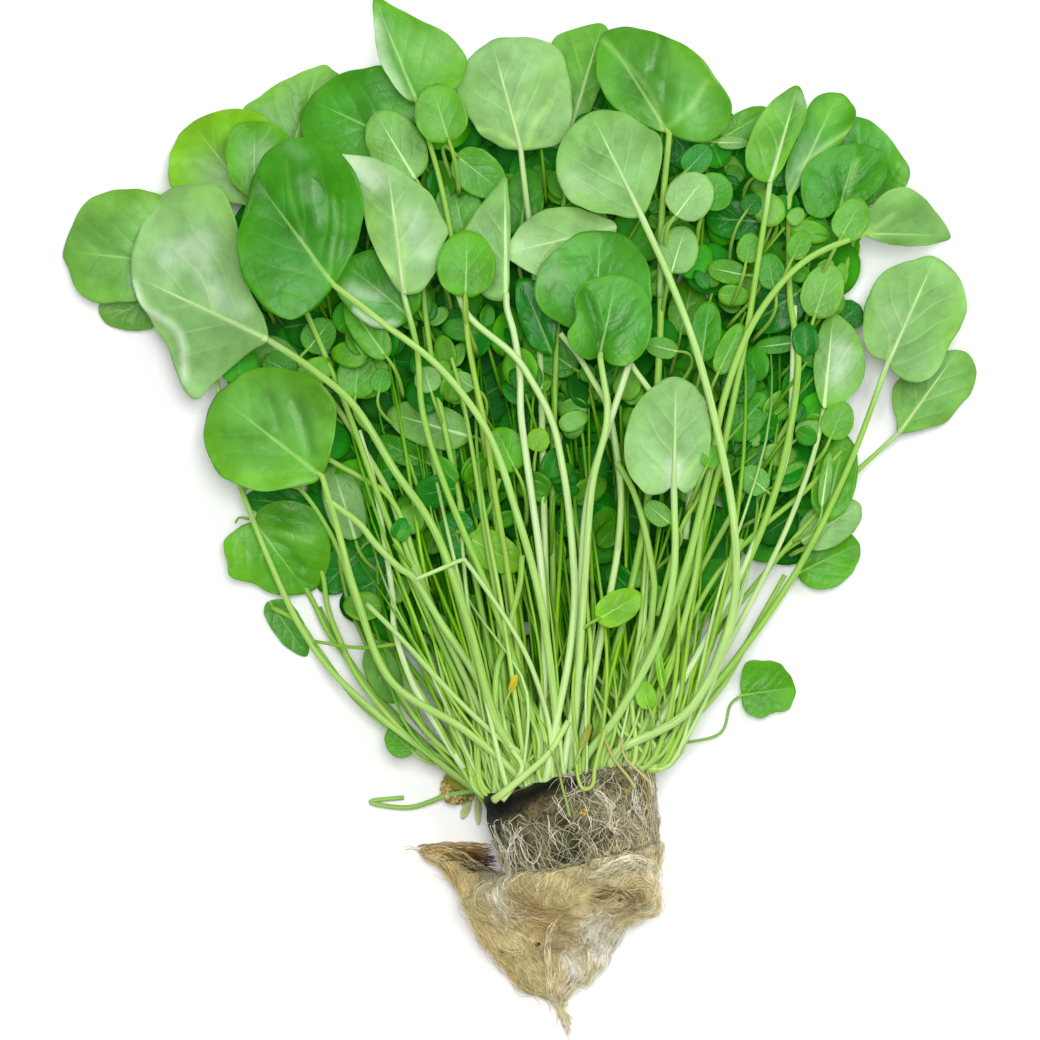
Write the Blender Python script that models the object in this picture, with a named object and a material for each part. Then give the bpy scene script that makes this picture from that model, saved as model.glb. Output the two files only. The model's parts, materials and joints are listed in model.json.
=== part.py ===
"""A bunch of watercress with its growing plug and root mat, lying on its side on a flat surface.

Metres, +Z up. The stems point along +Y and the roots along -Y. The origin is the centre of the bunch's
outline, on the surface that it lies on. Sizes and places below are millimetres.
"""

import math
from bisect import bisect
from collections import namedtuple

import bmesh
import bpy
from mathutils import Vector

MM = 0.001

# The growing plug: a tapered cylinder on its side, its top face turned towards the stems.
PLUG_TOP = Vector((11.8, -66.0))
PLUG_LEAN_DEG = 12.0
PLUG_LENGTH = 19.0
PLUG_TOP_HALF_WIDTH = 22.0
PLUG_END_HALF_WIDTH = 19.0
PLUG_HEIGHT = 36.0
PLUG_FLAT = 1.0
PLUG_SIDES = 20

# Clearances between pieces that touch in life.
FACE_GAP = 0.4
PETIOLE_GAP = 1.0

# Leaf blades and stems.
BLADE_THICKNESS = 0.6
BLADE_CELLS = 6
STEM_POINTS = 9
STEM_BASE_DIAMETER = 2.4
STEM_TIP_DIAMETER = 1.4

# Heights of the three layers in which stems leave the plug.
LOW, MIDDLE, HIGH = 13.5, 21.5, 29.5

UPPER, UNDER, YOUNG = "Leaf upper side", "Leaf underside", "Young leaf"
BLADE_COLOURS = {
    UPPER: (0.06, 0.25, 0.02, 1.0),
    UNDER: (0.34, 0.58, 0.24, 1.0),
    YOUNG: (0.17, 0.42, 0.03, 1.0),
}
BLADE_ROUGHNESS = {UPPER: 0.3, UNDER: 0.5, YOUNG: 0.38}
LOW_LEAF_GREEN = (0.04, 0.17, 0.01, 1.0)
STEM_GREEN = (0.4, 0.6, 0.16, 1.0)
PLUG_BROWN = (0.16, 0.15, 0.09, 1.0)
ROOT_TAN = (0.45, 0.34, 0.17, 1.0)

Leaf = namedtuple("Leaf", "name finish base tip left right roll cup arch fold", defaults=(0, 0, 0, 0))
Stem = namedtuple("Stem", "name across height leaf route thickness", defaults=(1.0,))

# Each blade with what it shows, from its petiole to its tip, and its edge on the left and on the right of
# the midrib, both from the petiole. roll, cup, arch and fold are heights: the left edge over the middle,
# both edges over the midrib, the middle of the midrib over its ends, and both edges over a sharp crease
# at the midrib.
LEAVES = (
    Leaf("leaf_left_low", UPPER, (-89, 64, 9), (-114, 67, 3),
         ((-90, 57), (-95, 54.5), (-101, 54), (-106, 54), (-110.5, 57), (-112.5, 62)),
         ((-87, 72), (-87, 79), (-94, 82), (-100, 82.2), (-107, 80), (-111, 75)), 0, 0.5, 1.5),
    Leaf("leaf_left_under", UPPER, (-90, 56, 4), (-104, 49.5, 1.2),
         ((-89, 52), (-91.5, 48), (-96, 47), (-101, 47.8)),
         ((-93, 60), (-98, 60), (-103, 57), (-105.2, 53)), 0, 0.2, 0.3),
    Leaf("leaf_left_pale", UNDER, (-62.5, 44.5, 24), (-97, 61, 9.5),
         ((-66, 42), (-71, 38), (-76, 34), (-80, 30), (-83.5, 32), (-85.5, 37), (-88, 43), (-92, 50),
          (-95, 54.5)),
         ((-63.5, 50), (-67, 57), (-69, 65), (-70.5, 74), (-74, 82), (-80, 83.5), (-86, 82.5),
          (-91, 79.5), (-95, 72)),
         -4, 0, 2),
    Leaf("leaf_left_dark", UPPER, (-46, 57.8, 34), (-53, 94.5, 28),
         ((-47.5, 55.5), (-51, 52), (-56, 49.5), (-61, 51), (-65, 54.5), (-68.5, 60), (-70, 66), (-69.5, 72),
          (-67.5, 79), (-66, 85), (-63, 90.5), (-58, 94)),
         ((-44.5, 60), (-41, 66), (-39, 73), (-39, 80), (-41, 86), (-44, 90), (-48, 93.5)), -1.5, 0.5, 1.5),
    Leaf("leaf_upper_left_bright", YOUNG, (-66, 78.5, 11), (-82, 99, 4),
         ((-72, 79), (-78, 80), (-84, 81), (-87.5, 84), (-87.5, 89), (-86, 94.5)),
         ((-62, 84), (-59.5, 90), (-60, 96), (-64, 100.5), (-70, 102.3), (-76, 101.7)), 0, 1, 1),
    Leaf("leaf_upper_left_small", YOUNG, (-66, 79.5, 18), (-66, 99, 13),
         ((-71, 83), (-73, 88), (-73, 94), (-70.5, 98)),
         ((-61.5, 83), (-58, 88), (-57, 93), (-60, 97.5)), 0, 0.5, 1),
    Leaf("leaf_top_left_pale", YOUNG, (-57, 92, 5), (-50, 113.3, 2),
         ((-62, 93.5), (-66.5, 97), (-69, 102), (-65, 105.5), (-59, 109.5)),
         ((-51, 92), (-46, 97), (-43.5, 103), (-44, 109), (-46.5, 112)), 0, 0.5, 1),
    Leaf("leaf_top_left_dark", UPPER, (-30, 94, 14.5), (-52.5, 104.5, 10),
         ((-35, 90.5), (-42, 90), (-49, 91), (-53.5, 94.5), (-54.8, 99)),
         ((-26, 97.5), (-25.5, 103), (-28.5, 108.5), (-33.5, 112.7), (-40, 112), (-47, 109.7)), 0, -1, 1.5),
    Leaf("leaf_top_folded", YOUNG, (-25.5, 103.5, 20), (-36.3, 129.7, 20),
         ((-29, 105), (-32.5, 109.5), (-35, 114.5), (-36, 121)),
         ((-20, 105.5), (-15, 108), (-13.2, 114), (-17.5, 120), (-24, 123.5), (-31, 127)), 2, 0, 1, 3),
    Leaf("leaf_centre_left_pale", UNDER, (-28.8, 55.5, 27), (-45.5, 90.5, 19.5),
         ((-32.5, 60), (-37, 69), (-39, 77), (-41, 84)),
         ((-24, 57), (-20.5, 62), (-19, 68), (-17.5, 71.5), (-20, 76), (-22, 80.5), (-27, 84.5),
          (-35, 88.5)), 0, 1, 1.5),
    Leaf("leaf_top_centre_pale", UNDER, (0.2, 91.5, 20), (-1, 120, 12),
         ((-5, 92.5), (-10, 96), (-13, 100), (-15.5, 105), (-15.7, 110), (-13, 114.5), (-7, 119)),
         ((5, 92), (10, 93.5), (12.5, 98), (13, 104), (12, 111), (9.5, 117), (5, 119.3)), 0, -1, 2),
    Leaf("leaf_top_centre_back", UNDER, (12, 95, 7), (20.5, 123.7, 3.5),
         ((9, 100), (7.5, 108), (7, 115), (9, 120.5), (14, 122.5)),
         ((16, 99), (19, 105), (21.5, 112), (22.5, 119)), 0, 0.5, 1),
    Leaf("leaf_top_right_round", UPPER, (37, 95.5, 23), (30, 121.8, 15),
         ((33, 96.7), (28, 99), (23.5, 102), (20, 107), (19, 112), (19.2, 117), (21, 121), (25.5, 122.3)),
         ((42, 93.7), (47, 93.7), (51, 97), (52.5, 102), (51, 106), (48, 110), (45, 114.5), (40, 118),
          (35, 120.5)), 0, 1, 2),
    Leaf("leaf_centre_right_pale", UNDER, (30, 75, 32), (17.5, 100.8, 26),
         ((26.5, 74.5), (21.5, 75.5), (16.5, 76.5), (12, 79), (9.5, 84), (9.2, 90), (12, 96.5)),
         ((32.5, 79), (34.5, 86), (35, 94), (30.5, 97.7), (24.5, 101)), 0, 1, 1.5),
    Leaf("leaf_right_narrow", UNDER, (62, 83.5, 26), (69, 107.5, 21),
         ((59, 84), (56.5, 86.5), (55.8, 90), (57, 95), (59.5, 100), (63.5, 104.5)),
         ((64.5, 86), (67, 91), (69.5, 96), (71.2, 101.5)), 0, 1, 1),
    Leaf("leaf_right_bright", YOUNG, (67, 80, 19), (79.5, 106.3, 12.5),
         ((66, 85), (66.8, 90), (69.8, 96), (71.3, 101.5), (74, 105.3)),
         ((70.5, 84), (76, 89), (81, 95), (83.7, 100.5), (82.7, 104)), 0, 1, 1),
    Leaf("leaf_right_back", UPPER, (85, 78, 5), (84.5, 100.5, 2.5),
         ((80, 80), (76, 86), (76, 93), (79, 99)),
         ((91, 80), (96, 82.5), (97.3, 87), (94.5, 92), (90, 97.5)), 0, 0.5, 1),
    Leaf("leaf_right_dark", UPPER, (79.5, 77.5, 12), (84, 93.5, 9),
         ((76, 74.8), (72, 75.5), (70, 80), (70, 85.5), (73, 90), (78, 92.5)),
         ((84, 78), (89, 82), (91.5, 86.5), (90, 91.5)), 0, 0.3, 0.5),
    Leaf("leaf_right_tip", YOUNG, (85.5, 71, 19), (107.3, 70.7, 9),
         ((86.2, 75), (88.5, 79), (92, 81.8), (96, 82.3), (100, 80.3), (104, 76)),
         ((89, 69), (94, 68), (100, 68), (105, 69)), 2, 0, 1),
    Leaf("leaf_centre_back", UNDER, (24, 72.5, 21), (-3.7, 66, 18),
         ((21, 66), (15, 60), (9, 58), (3, 61), (-1.5, 63.5)),
         ((18, 76), (13, 77.5), (7, 77), (2, 74.5), (-2, 70)), 0, 0.3, 0.5),
    Leaf("leaf_centre_dark", UPPER, (18.5, 46, 27), (20, 71.5, 24.5),
         ((12, 47.5), (6, 51), (3.5, 56), (5, 62.5), (10, 67.5), (14.5, 70.8)),
         ((26, 47), (31, 49), (32.7, 55), (32, 62), (29, 67.5), (25, 70.5)), 0, 0.5, 1),
    Leaf("leaf_centre_round", UPPER, (19.8, 40, 34), (24, 60.7, 31),
         ((16.5, 39.3), (13, 42), (11.7, 46), (13.8, 49.8), (13.3, 54), (16, 58.5)),
         ((22.5, 38.2), (26, 37.7), (29.5, 40), (32, 44), (32.7, 49), (32, 54), (29, 58.5)), 0, 0.5, 1),
    Leaf("leaf_far_right", UNDER, (91.5, 39, 16), (103.5, 65.3, 10.5),
         ((87.5, 40.5), (85.3, 45), (85.5, 51), (87.2, 57), (91, 61.8), (97, 64.3)),
         ((93, 36.5), (96.5, 34.2), (101, 34.5), (105, 38.5), (107, 43.5), (110, 48.5), (111.3, 53.5),
          (109, 60.5)), 0, 0.5, 1),
    Leaf("leaf_far_right_low", UNDER, (94.5, 21.5, 6), (109.5, 42.2, 2),
         ((93.8, 25), (92.8, 30), (93.7, 34), (98, 37.5), (104, 41.3)),
         ((99, 22), (104, 23.3), (107, 24.7), (110, 28.5), (113, 32), (114, 36.5),
          (112.7, 40.5)), 0, 0.5, 0.5),
    Leaf("leaf_right_upright", UNDER, (75.5, 27.5, 17), (78, 51.3, 13),
         ((73.8, 31), (73, 37), (73.5, 43), (75, 48)),
         ((79, 28.4), (82.5, 30.8), (85, 34), (85.8, 38.5), (85, 43.5), (82, 48.5)), 0, 0.5, 1),
    Leaf("leaf_front_centre", UNDER, (38, 8, 37.5), (38.5, 35, 35),
         ((35, 6.2), (31, 6.3), (28, 9.5), (26, 14), (25.8, 19.5), (27.5, 26), (31, 31), (34.5, 34)),
         ((41, 6.5), (44.5, 10), (46.8, 16), (47, 23), (45.5, 29.5), (42.5, 33.5)), 0, 0.5, 1.5),
    Leaf("leaf_left_broad", UPPER, (-49, 10.5, 24), (-75.5, 31, 14),
         ((-52.5, 8.7), (-58, 7.5), (-65, 7), (-70, 8.5), (-74.5, 11), (-77.5, 15.5), (-78.7, 20.5),
          (-77.8, 26)),
         ((-47.5, 14), (-46.3, 19), (-45.5, 25), (-47, 31), (-51, 35), (-56, 37), (-62, 38),
          (-68, 36.7), (-72.5, 33.7)),
         0, 0.5, 2),
    Leaf("leaf_left_lower", UPPER, (-66.5, -0.5, 7), (-53, -18.5, 3),
         ((-65, 2.5), (-60.5, 4.5), (-55, 4.2), (-50.5, 2), (-47.7, -3.5), (-47.3, -10), (-49.5, -15.5)),
         ((-70, -2), (-73.8, -5.5), (-73, -11), (-72, -14.5), (-67, -16), (-62.5, -18.3),
          (-58, -19)), 0, 0.5, 0.5),
    Leaf("leaf_left_hanging", UPPER, (-62.5, -20.5, 3), (-53.3, -34.3, 1),
         ((-58, -20.5), (-54.5, -25), (-52.9, -30)),
         ((-64, -23), (-62, -27.5), (-58, -32.3)), 0, 0.3, 0.3),
    Leaf("leaf_stray", UPPER, (55.3, -44, 3), (68.8, -42, 1.5),
         ((55.2, -39.5), (56.5, -36), (60, -35.3), (65, -36.2)),
         ((56.3, -48), (60, -49.7), (63.5, -48.3), (67.2, -47.5)), 0, 0.5, 0.5),
    Leaf("leaf_right_lower", UPPER, (69.5, -13.5, 4), (84.7, -6, 2.5),
         ((70.5, -8), (75, -3.5), (81, -3)),
         ((71.5, -16.5), (76, -17.6), (81, -15.5), (84.4, -11)), 0, 0.3, 0.5),
)

# Each stem from the plug's top face to a blade. across is its place on that face, from the plug's axis
# towards +X, and height is its layer there. route holds the points that it passes on its way.
STEMS = (
    Stem("stem_left_low", -19.5, LOW, "leaf_left_low",
         ((-26, -56, 13), (-45, -40, 11.5), (-54, -28, 10.5), (-60, -16, 10.5), (-67, 1, 10.5),
          (-72, 16, 10.5),
          (-79, 48, 10)), 0.9),
    Stem("stem_left_pale", -8.5, HIGH, "leaf_left_pale",
         ((-6, -50, 31), (-13, -25, 33), (-21, -3, 33), (-31, 12, 32), (-41, 28, 31),
          (-52, 37.5, 28.5)), 1.2),
    Stem("stem_left_dark", -1.5, HIGH, "leaf_left_dark",
         ((8.5, -45, 33), (5, -20, 37), (-1, 2, 39), (-8, 21.5, 39.5), (-20, 37.5, 39),
          (-34, 48.5, 37)), 1.1),
    Stem("stem_upper_left", -15, MIDDLE, "leaf_upper_left_bright",
         ((-13, -45, 22), (-31, -5, 20), (-44, 30, 17), (-57, 60, 13)), 0.9),
    Stem("stem_top_left_dark", -11, MIDDLE, "leaf_top_left_dark",
         ((-5, -45, 22), (-14, 0, 21), (-22, 40, 19), (-26, 75, 17)), 0.9),
    Stem("stem_top_folded", -6.5, MIDDLE, "leaf_top_folded",
         ((1, -40, 22), (-6, 0, 22), (-12, 40, 21), (-19, 80, 19.5)), 0.9),
    Stem("stem_centre_left_pale", -5, HIGH, "leaf_centre_left_pale",
         ((2, -45, 30), (-7, -20, 30), (-18.5, 8, 30), (-24, 26, 29.5), (-25.5, 42, 29)), 1.0),
    Stem("stem_top_centre_pale", -2, MIDDLE, "leaf_top_centre_pale",
         ((7, -40, 22), (6, 0, 23), (6, 40, 22.5), (3, 74, 22.5)), 1.1),
    Stem("stem_top_centre_back", -1, LOW, "leaf_top_centre_back",
         ((9, -40, 14), (8, 0, 16.5), (9, 40, 17), (10.5, 72, 13.5)), 0.9),
    Stem("stem_top_right_round", 7, MIDDLE, "leaf_top_right_round",
         ((22, -40, 23), (31, 0, 23.5), (34.5, 40, 23.5), (35, 72, 23.5)), 1.1),
    Stem("stem_centre_right_pale", 13, HIGH, "leaf_centre_right_pale",
         ((42, -47, 33), (52, -25, 36), (53, -4, 39), (49.5, 18, 39.5), (44, 40, 38.5), (37.5, 58, 36)), 1.2),
    Stem("stem_right_narrow", 11.5, MIDDLE, "leaf_right_narrow",
         ((32, -40, 24), (46, 0, 26), (55, 40, 27), (59, 64, 27)), 1.0),
    Stem("stem_right_bright", 15.5, MIDDLE, "leaf_right_bright",
         ((38, -44, 22), (53, -18, 22), (64, 9, 22), (69, 37, 22), (67, 56, 21)), 1.1),
    Stem("stem_right_back", 10, LOW, "leaf_right_back",
         ((30, -40, 14), (52, 0, 15), (70, 30, 12), (80, 58, 7.5)), 0.9),
    Stem("stem_right_tip", 10, HIGH, "leaf_right_tip",
         ((26, -45, 29), (39, -18, 31.5), (46.5, 10, 33), (50.5, 30, 32), (58, 49, 29), (70, 63.5, 25)), 1.1),
    Stem("stem_centre_dark", 2.5, MIDDLE, "leaf_centre_dark",
         ((15, -45, 23), (22, -20, 26), (25, 5, 28), (22, 28, 28)), 1.0),
    Stem("stem_centre_round", 2, HIGH, "leaf_centre_round",
         ((14, -45, 32), (16, -15, 35), (17.8, 8, 37), (21.5, 25, 37)), 1.1),
    Stem("stem_far_right", 19.5, MIDDLE, "leaf_far_right",
         ((44, -46, 19), (58, -29, 17.5), (71, -9, 17), (82.5, 15, 17)), 1.0),
    Stem("stem_far_right_low", 13.5, LOW, "leaf_far_right_low",
         ((38, -42, 13.5), (58, -17, 13), (78, 6, 9)), 0.8),
    Stem("stem_front_centre", 5.5, HIGH, "leaf_front_centre",
         ((24.5, -48, 33), (34, -30, 36.5), (38, -12, 38.5)), 1.2),
    Stem("stem_left_broad", -12, HIGH, "leaf_left_broad",
         ((-14, -52, 29), (-32, -40, 28.5), (-40.5, -19, 28), (-45, -3, 26.5)), 1.1),
    Stem("stem_left_lower", -19.5, MIDDLE, "leaf_left_lower",
         ((-24, -52, 19), (-38, -28, 14.5), (-47, -4, 11), (-58, 10, 8.5), (-68.5, 7.5, 8)), 0.7),
    Stem("stem_stray", 19.7, LOW, "leaf_stray",
         ((40, -56, 6), (50, -53.5, 2.5), (52.5, -46.5, 2.5)), 0.45),
    Stem("stem_right_lower", 17.5, LOW, "leaf_right_lower",
         ((41, -50, 9), (55, -34, 6), (64, -21, 5.5)), 0.6),
)

# A stem with no blade, which bends back on itself beside the plug.
BENT_STEM = ((-10, -67.5, 8), (-18, -69, 4), (-27, -72, 1.5), (-35, -71.5, 1.2), (-37, -70.4, 1.2),
(-29, -69.6, 1.2))
BENT_STEM_DIAMETER = 1.4

# The small stems and the small leaves under the large ones: each mass as sections along +Y, each with
# its left and right end and its height.
SMALL_STEMS = ((-61, -8, 32, 8.5), (-42, -30, 43, 10), (-20, -46, 58, 12), (0, -48, 66, 13.5),
(19, -50, 68, 14))
SMALL_LEAVES = ((20, -50, 68, 14), (40, -60, 72, 14), (65, -58, 72, 13), (82, -48, 60, 10), (92, -36, 48, 6))
MASS_ARC = 9

# Edges that turn more than this stay sharp when shaded.
SHARP_ANGLE_DEG = 45.0

# The root mat as sections from the plug to its tail: centre, half width, half height and lean.
MAT_SECTIONS = (
    (15.85, -85.1, 19.5, 16.0, 12.0), (9.5, -91.0, 25.0, 13.0, 10.0), (10.0, -98.0, 23.2, 9.5, 7.0),
    (8.0, -104.8, 18.3, 6.5, 3.0), (8.3, -110.6, 13.0, 4.5, -2.0), (6.7, -116.5, 6.0, 2.8, -5.0),
    (9.3, -120.8, 2.2, 1.6, -15.0), (11.0, -125.3, 1.3, 1.1, -15.0), (12.0, -129.4, 0.6, 0.6, 0.0),
)
MAT_SINK = 0.93
# Its rolled edge on the right and its wisp on the left: centre and radius along each.
ROLL_SECTIONS = (
    (12, -101, 13, 3.5), (16.5, -95.5, 18, 4.5), (23, -92, 20.5, 5), (29.5, -91.5, 17, 5), (32, -95.5, 12, 4),
    (27.5, -98, 9, 3),
)
WISP_SECTIONS = ((-4, -97.5, 7, 6.0), (-10, -93.2, 7, 5.5), (-14, -88.5, 6, 4.0),
(-18, -84.5, 4.5, 2.2), (-25.5, -82.8, 3, 0.5))


def clear_scene():
    for obj in list(bpy.data.objects):
        bpy.data.objects.remove(obj, do_unlink=True)


def material(name, colour, roughness):
    made = bpy.data.materials.new(name)
    made.use_nodes = True
    shader = made.node_tree.nodes["Principled BSDF"]
    shader.inputs["Base Color"].default_value = colour
    shader.inputs["Roughness"].default_value = roughness
    shader.inputs["Metallic"].default_value = 0.0
    made.diffuse_color = colour
    return made


def link(name, data, finish):
    obj = bpy.data.objects.new(name, data)
    obj.data.materials.append(finish)
    bpy.context.scene.collection.objects.link(obj)
    return obj


def plug_axis():
    """The direction in which the plug's top face looks, in the surface's plane."""
    lean = math.radians(PLUG_LEAN_DEG)
    return Vector((-math.sin(lean), math.cos(lean)))


def on_plug_top(across, height):
    """A point just off the plug's top face."""
    axis = plug_axis()
    side = Vector((axis.y, -axis.x))
    flat = PLUG_TOP + side * across + axis * FACE_GAP
    return Vector((flat.x, flat.y, height))


def catmull_rom(a, b, c, d, t):
    """The point at t from 0 to 1 between b and c, on the smooth curve through a, b, c and d."""
    return 0.5 * (2 * b + (c - a) * t + (2 * a - 5 * b + 4 * c - d) * t**2 + (3 * b - a - 3 * c + d) * t**3)


def smooth_route(points, count):
    """Points at even steps of a Catmull-Rom curve through the given ones."""
    ends = [points[0] * 2 - points[1], *points, points[-1] * 2 - points[-2]]
    made = []
    for step in range(count):
        place = step / (count - 1) * (len(points) - 1)
        i = min(int(place), len(points) - 2)
        a, b, c, d = ends[i : i + 4]
        made.append(catmull_rom(a, b, c, d, place - i))
    return made


def blade_edge(leaf):
    """The middle of the blade, and the places spaced evenly round each side, by angle left of the tip."""
    base, tip = Vector(leaf.base[:2]), Vector(leaf.tip[:2])
    left = [base, *map(Vector, leaf.left), tip]
    right = [base, *map(Vector, leaf.right), tip]
    loop = left[:-1] + right[:0:-1]
    return sum(loop, Vector((0, 0))) / len(loop), smooth_loop(loop, len(left) - 1)


def smooth_loop(points, tip):
    """A closed smooth curve through points, as a lookup from an angle: 0 at points[tip], pi at points[0]."""
    count = len(points)
    dense, marks = [], []
    for i in range(count):
        a, b, c, d = (points[(i + k) % count] for k in (-1, 0, 1, 2))
        marks.append(len(dense))
        for step in range(8):
            dense.append(catmull_rom(a, b, c, d, step / 8))
    dense.append(points[0])
    marks.append(len(dense) - 1)
    run = [0.0]
    for a, b in zip(dense, dense[1:]):
        run.append(run[-1] + (b - a).length)
    at_tip, whole = run[marks[tip]], run[-1]

    def place(angle):
        angle = math.remainder(angle, 2 * math.pi)
        if angle >= 0:
            want = at_tip * (1 - angle / math.pi)
        else:
            want = at_tip + (whole - at_tip) * (-angle / math.pi)
        i = min(max(bisect(run, want) - 1, 0), len(dense) - 2)
        return dense[i].lerp(dense[i + 1], (want - run[i]) / max(run[i + 1] - run[i], 1e-9))

    return place


def blade_point(leaf, heart, edge, u, v):
    """Where the point (u, v) of a square from -1 to 1 lies on the blade."""
    x, y = u * math.sqrt(1 - v * v / 2), v * math.sqrt(1 - u * u / 2)
    out, angle = min(math.hypot(x, y), 1.0), math.atan2(-x, y)
    base, tip = Vector(leaf.base), Vector(leaf.tip)
    flat = heart.lerp(edge(angle), out)
    forward = tip.to_2d() - base.to_2d()
    length = forward.length
    forward.normalize()
    along = (flat - base.to_2d()).dot(forward) / length
    across = (flat - base.to_2d()).dot(Vector((-forward.y, forward.x)))
    share = across / (0.5 * length)
    lift = leaf.roll * share + leaf.cup * share**2 + leaf.fold * abs(share)
    lift += leaf.arch * 4 * along * (1 - along)
    return Vector((flat.x, flat.y, base.z + (tip.z - base.z) * along + lift))


def make_leaf(leaf, finish):
    mesh = bpy.data.meshes.new(leaf.name)
    bm = bmesh.new()
    bmesh.ops.create_grid(bm, x_segments=BLADE_CELLS, y_segments=BLADE_CELLS, size=1.0)
    heart, edge = blade_edge(leaf)
    for vert in bm.verts:
        vert.co = blade_point(leaf, heart, edge, vert.co.x, vert.co.y) * MM
    bmesh.ops.recalc_face_normals(bm, faces=bm.faces)
    bm.to_mesh(mesh)
    bm.free()
    mesh.shade_smooth()
    obj = link(leaf.name, mesh, finish)
    thick = obj.modifiers.new("Thickness", "SOLIDIFY")
    thick.thickness = BLADE_THICKNESS * MM
    thick.offset = 0.0
    return obj


def tube(name, points, diameters, finish):
    curve = bpy.data.curves.new(name, "CURVE")
    curve.dimensions = "3D"
    curve.bevel_depth = 0.5 * MM
    curve.bevel_resolution = 1
    curve.use_fill_caps = True
    spline = curve.splines.new("POLY")
    spline.points.add(len(points) - 1)
    for place, point, diameter in zip(spline.points, points, diameters):
        place.co = (*(point * MM), 1.0)
        place.radius = diameter
    return link(name, curve, finish)


def make_stem(stem, leaf, finish):
    start = on_plug_top(stem.across, stem.height)
    rise = plug_axis() * 5.0
    route = [start, start + Vector((rise.x, rise.y, 0)), *map(Vector, stem.route), Vector(leaf.base)]
    last = (route[-1] - route[-2]).normalized()
    route[-1] = route[-1] - last * PETIOLE_GAP
    points = smooth_route(route, STEM_POINTS)
    taper = [i / (STEM_POINTS - 1) for i in range(STEM_POINTS)]
    wide, narrow = STEM_BASE_DIAMETER * stem.thickness, STEM_TIP_DIAMETER * stem.thickness
    return tube(stem.name, points, [wide + (narrow - wide) * t for t in taper], finish)


def ring(bm, centre, side, up, half_width, half_height, sides, lowest=0.0):
    """A closed loop of points round centre, squarer than an ellipse and cut flat at the height lowest."""
    made = []
    for k in range(sides):
        angle = 2 * math.pi * k / sides
        c, s = math.cos(angle), math.sin(angle)
        across, above = math.copysign(abs(c) ** 0.8, c), math.copysign(abs(s) ** 0.8, s)
        point = centre + side * (half_width * across) + up * (half_height * above)
        point.z = max(point.z, lowest)
        made.append(bm.verts.new(point * MM))
    return made


def loft(name, rings_of, finish):
    """A closed solid through the rings that rings_of adds to a mesh."""
    mesh = bpy.data.meshes.new(name)
    bm = bmesh.new()
    rings = rings_of(bm)
    edges = [[bm.edges.new((r[k - 1], r[k])) for k in range(len(r))] for r in rings]
    for first, second in zip(edges, edges[1:]):
        bmesh.ops.bridge_loops(bm, edges=first + second)
    bm.faces.new(rings[0])
    bm.faces.new(rings[-1])
    bmesh.ops.triangulate(bm, faces=bm.faces)
    bmesh.ops.recalc_face_normals(bm, faces=bm.faces)
    bm.to_mesh(mesh)
    bm.free()
    mesh.shade_smooth()
    mesh.set_sharp_from_angle(angle=math.radians(SHARP_ANGLE_DEG))
    return link(name, mesh, finish)


def make_plug(finish):
    axis = plug_axis().to_3d()
    side = Vector((axis.y, -axis.x, 0))
    up = Vector((0, 0, 1))
    middle = PLUG_HEIGHT / 2

    def rings(bm):
        made = []
        for share in (0.0, 0.5, 1.0):
            centre = PLUG_TOP.to_3d() - axis * PLUG_LENGTH * share
            half = PLUG_TOP_HALF_WIDTH + (PLUG_END_HALF_WIDTH - PLUG_TOP_HALF_WIDTH) * share
            tall = middle * (half / PLUG_TOP_HALF_WIDTH)
            centre.z = tall - PLUG_FLAT
            made.append(ring(bm, centre, side, up, half, tall, PLUG_SIDES))
        return made

    return loft("growing_plug", rings, finish)


def make_root_mat(finish):
    def body(bm):
        made = []
        for x, y, half, tall, lean_deg in MAT_SECTIONS:
            lean = math.radians(lean_deg)
            side = Vector((math.cos(lean), math.sin(lean), 0))
            made.append(ring(bm, Vector((x, y, tall * MAT_SINK)), side, Vector((0, 0, 1)), half, tall, 14))
        return made

    def along(sections):
        def rings(bm):
            places = [Vector(s[:3]) for s in sections]
            made = []
            for i, section in enumerate(sections):
                ahead = (places[min(i + 1, len(places) - 1)] - places[max(i - 1, 0)]).normalized()
                side = Vector((ahead.y, -ahead.x, 0)).normalized()
                made.append(ring(bm, places[i], side, side.cross(ahead), section[3], section[3], 10, 0.2))
            return made

        return rings

    mat = loft("root_mat", body, finish)
    for name, sections in (("rolled_edge", ROLL_SECTIONS), ("wisp", WISP_SECTIONS)):
        added = loft(name, along(sections), finish)
        added.hide_render = True
        added.display_type = "WIRE"
        joined = mat.modifiers.new(name, "BOOLEAN")
        joined.operation = "UNION"
        joined.object = added
    return mat


def make_mass(name, sections, finish):
    """A low mass that the small stems or leaves fill, flat below and round above."""

    def rings(bm):
        made = []
        for y, left, right, tall in sections:
            middle, half = (left + right) / 2, (right - left) / 2
            section = []
            for k in range(MASS_ARC):
                turn = math.pi * k / (MASS_ARC - 1)
                point = Vector((middle + half * math.cos(turn), y, tall * math.sin(turn)))
                section.append(bm.verts.new(point * MM))
            made.append(section)
        return made

    return loft(name, rings, finish)


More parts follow.
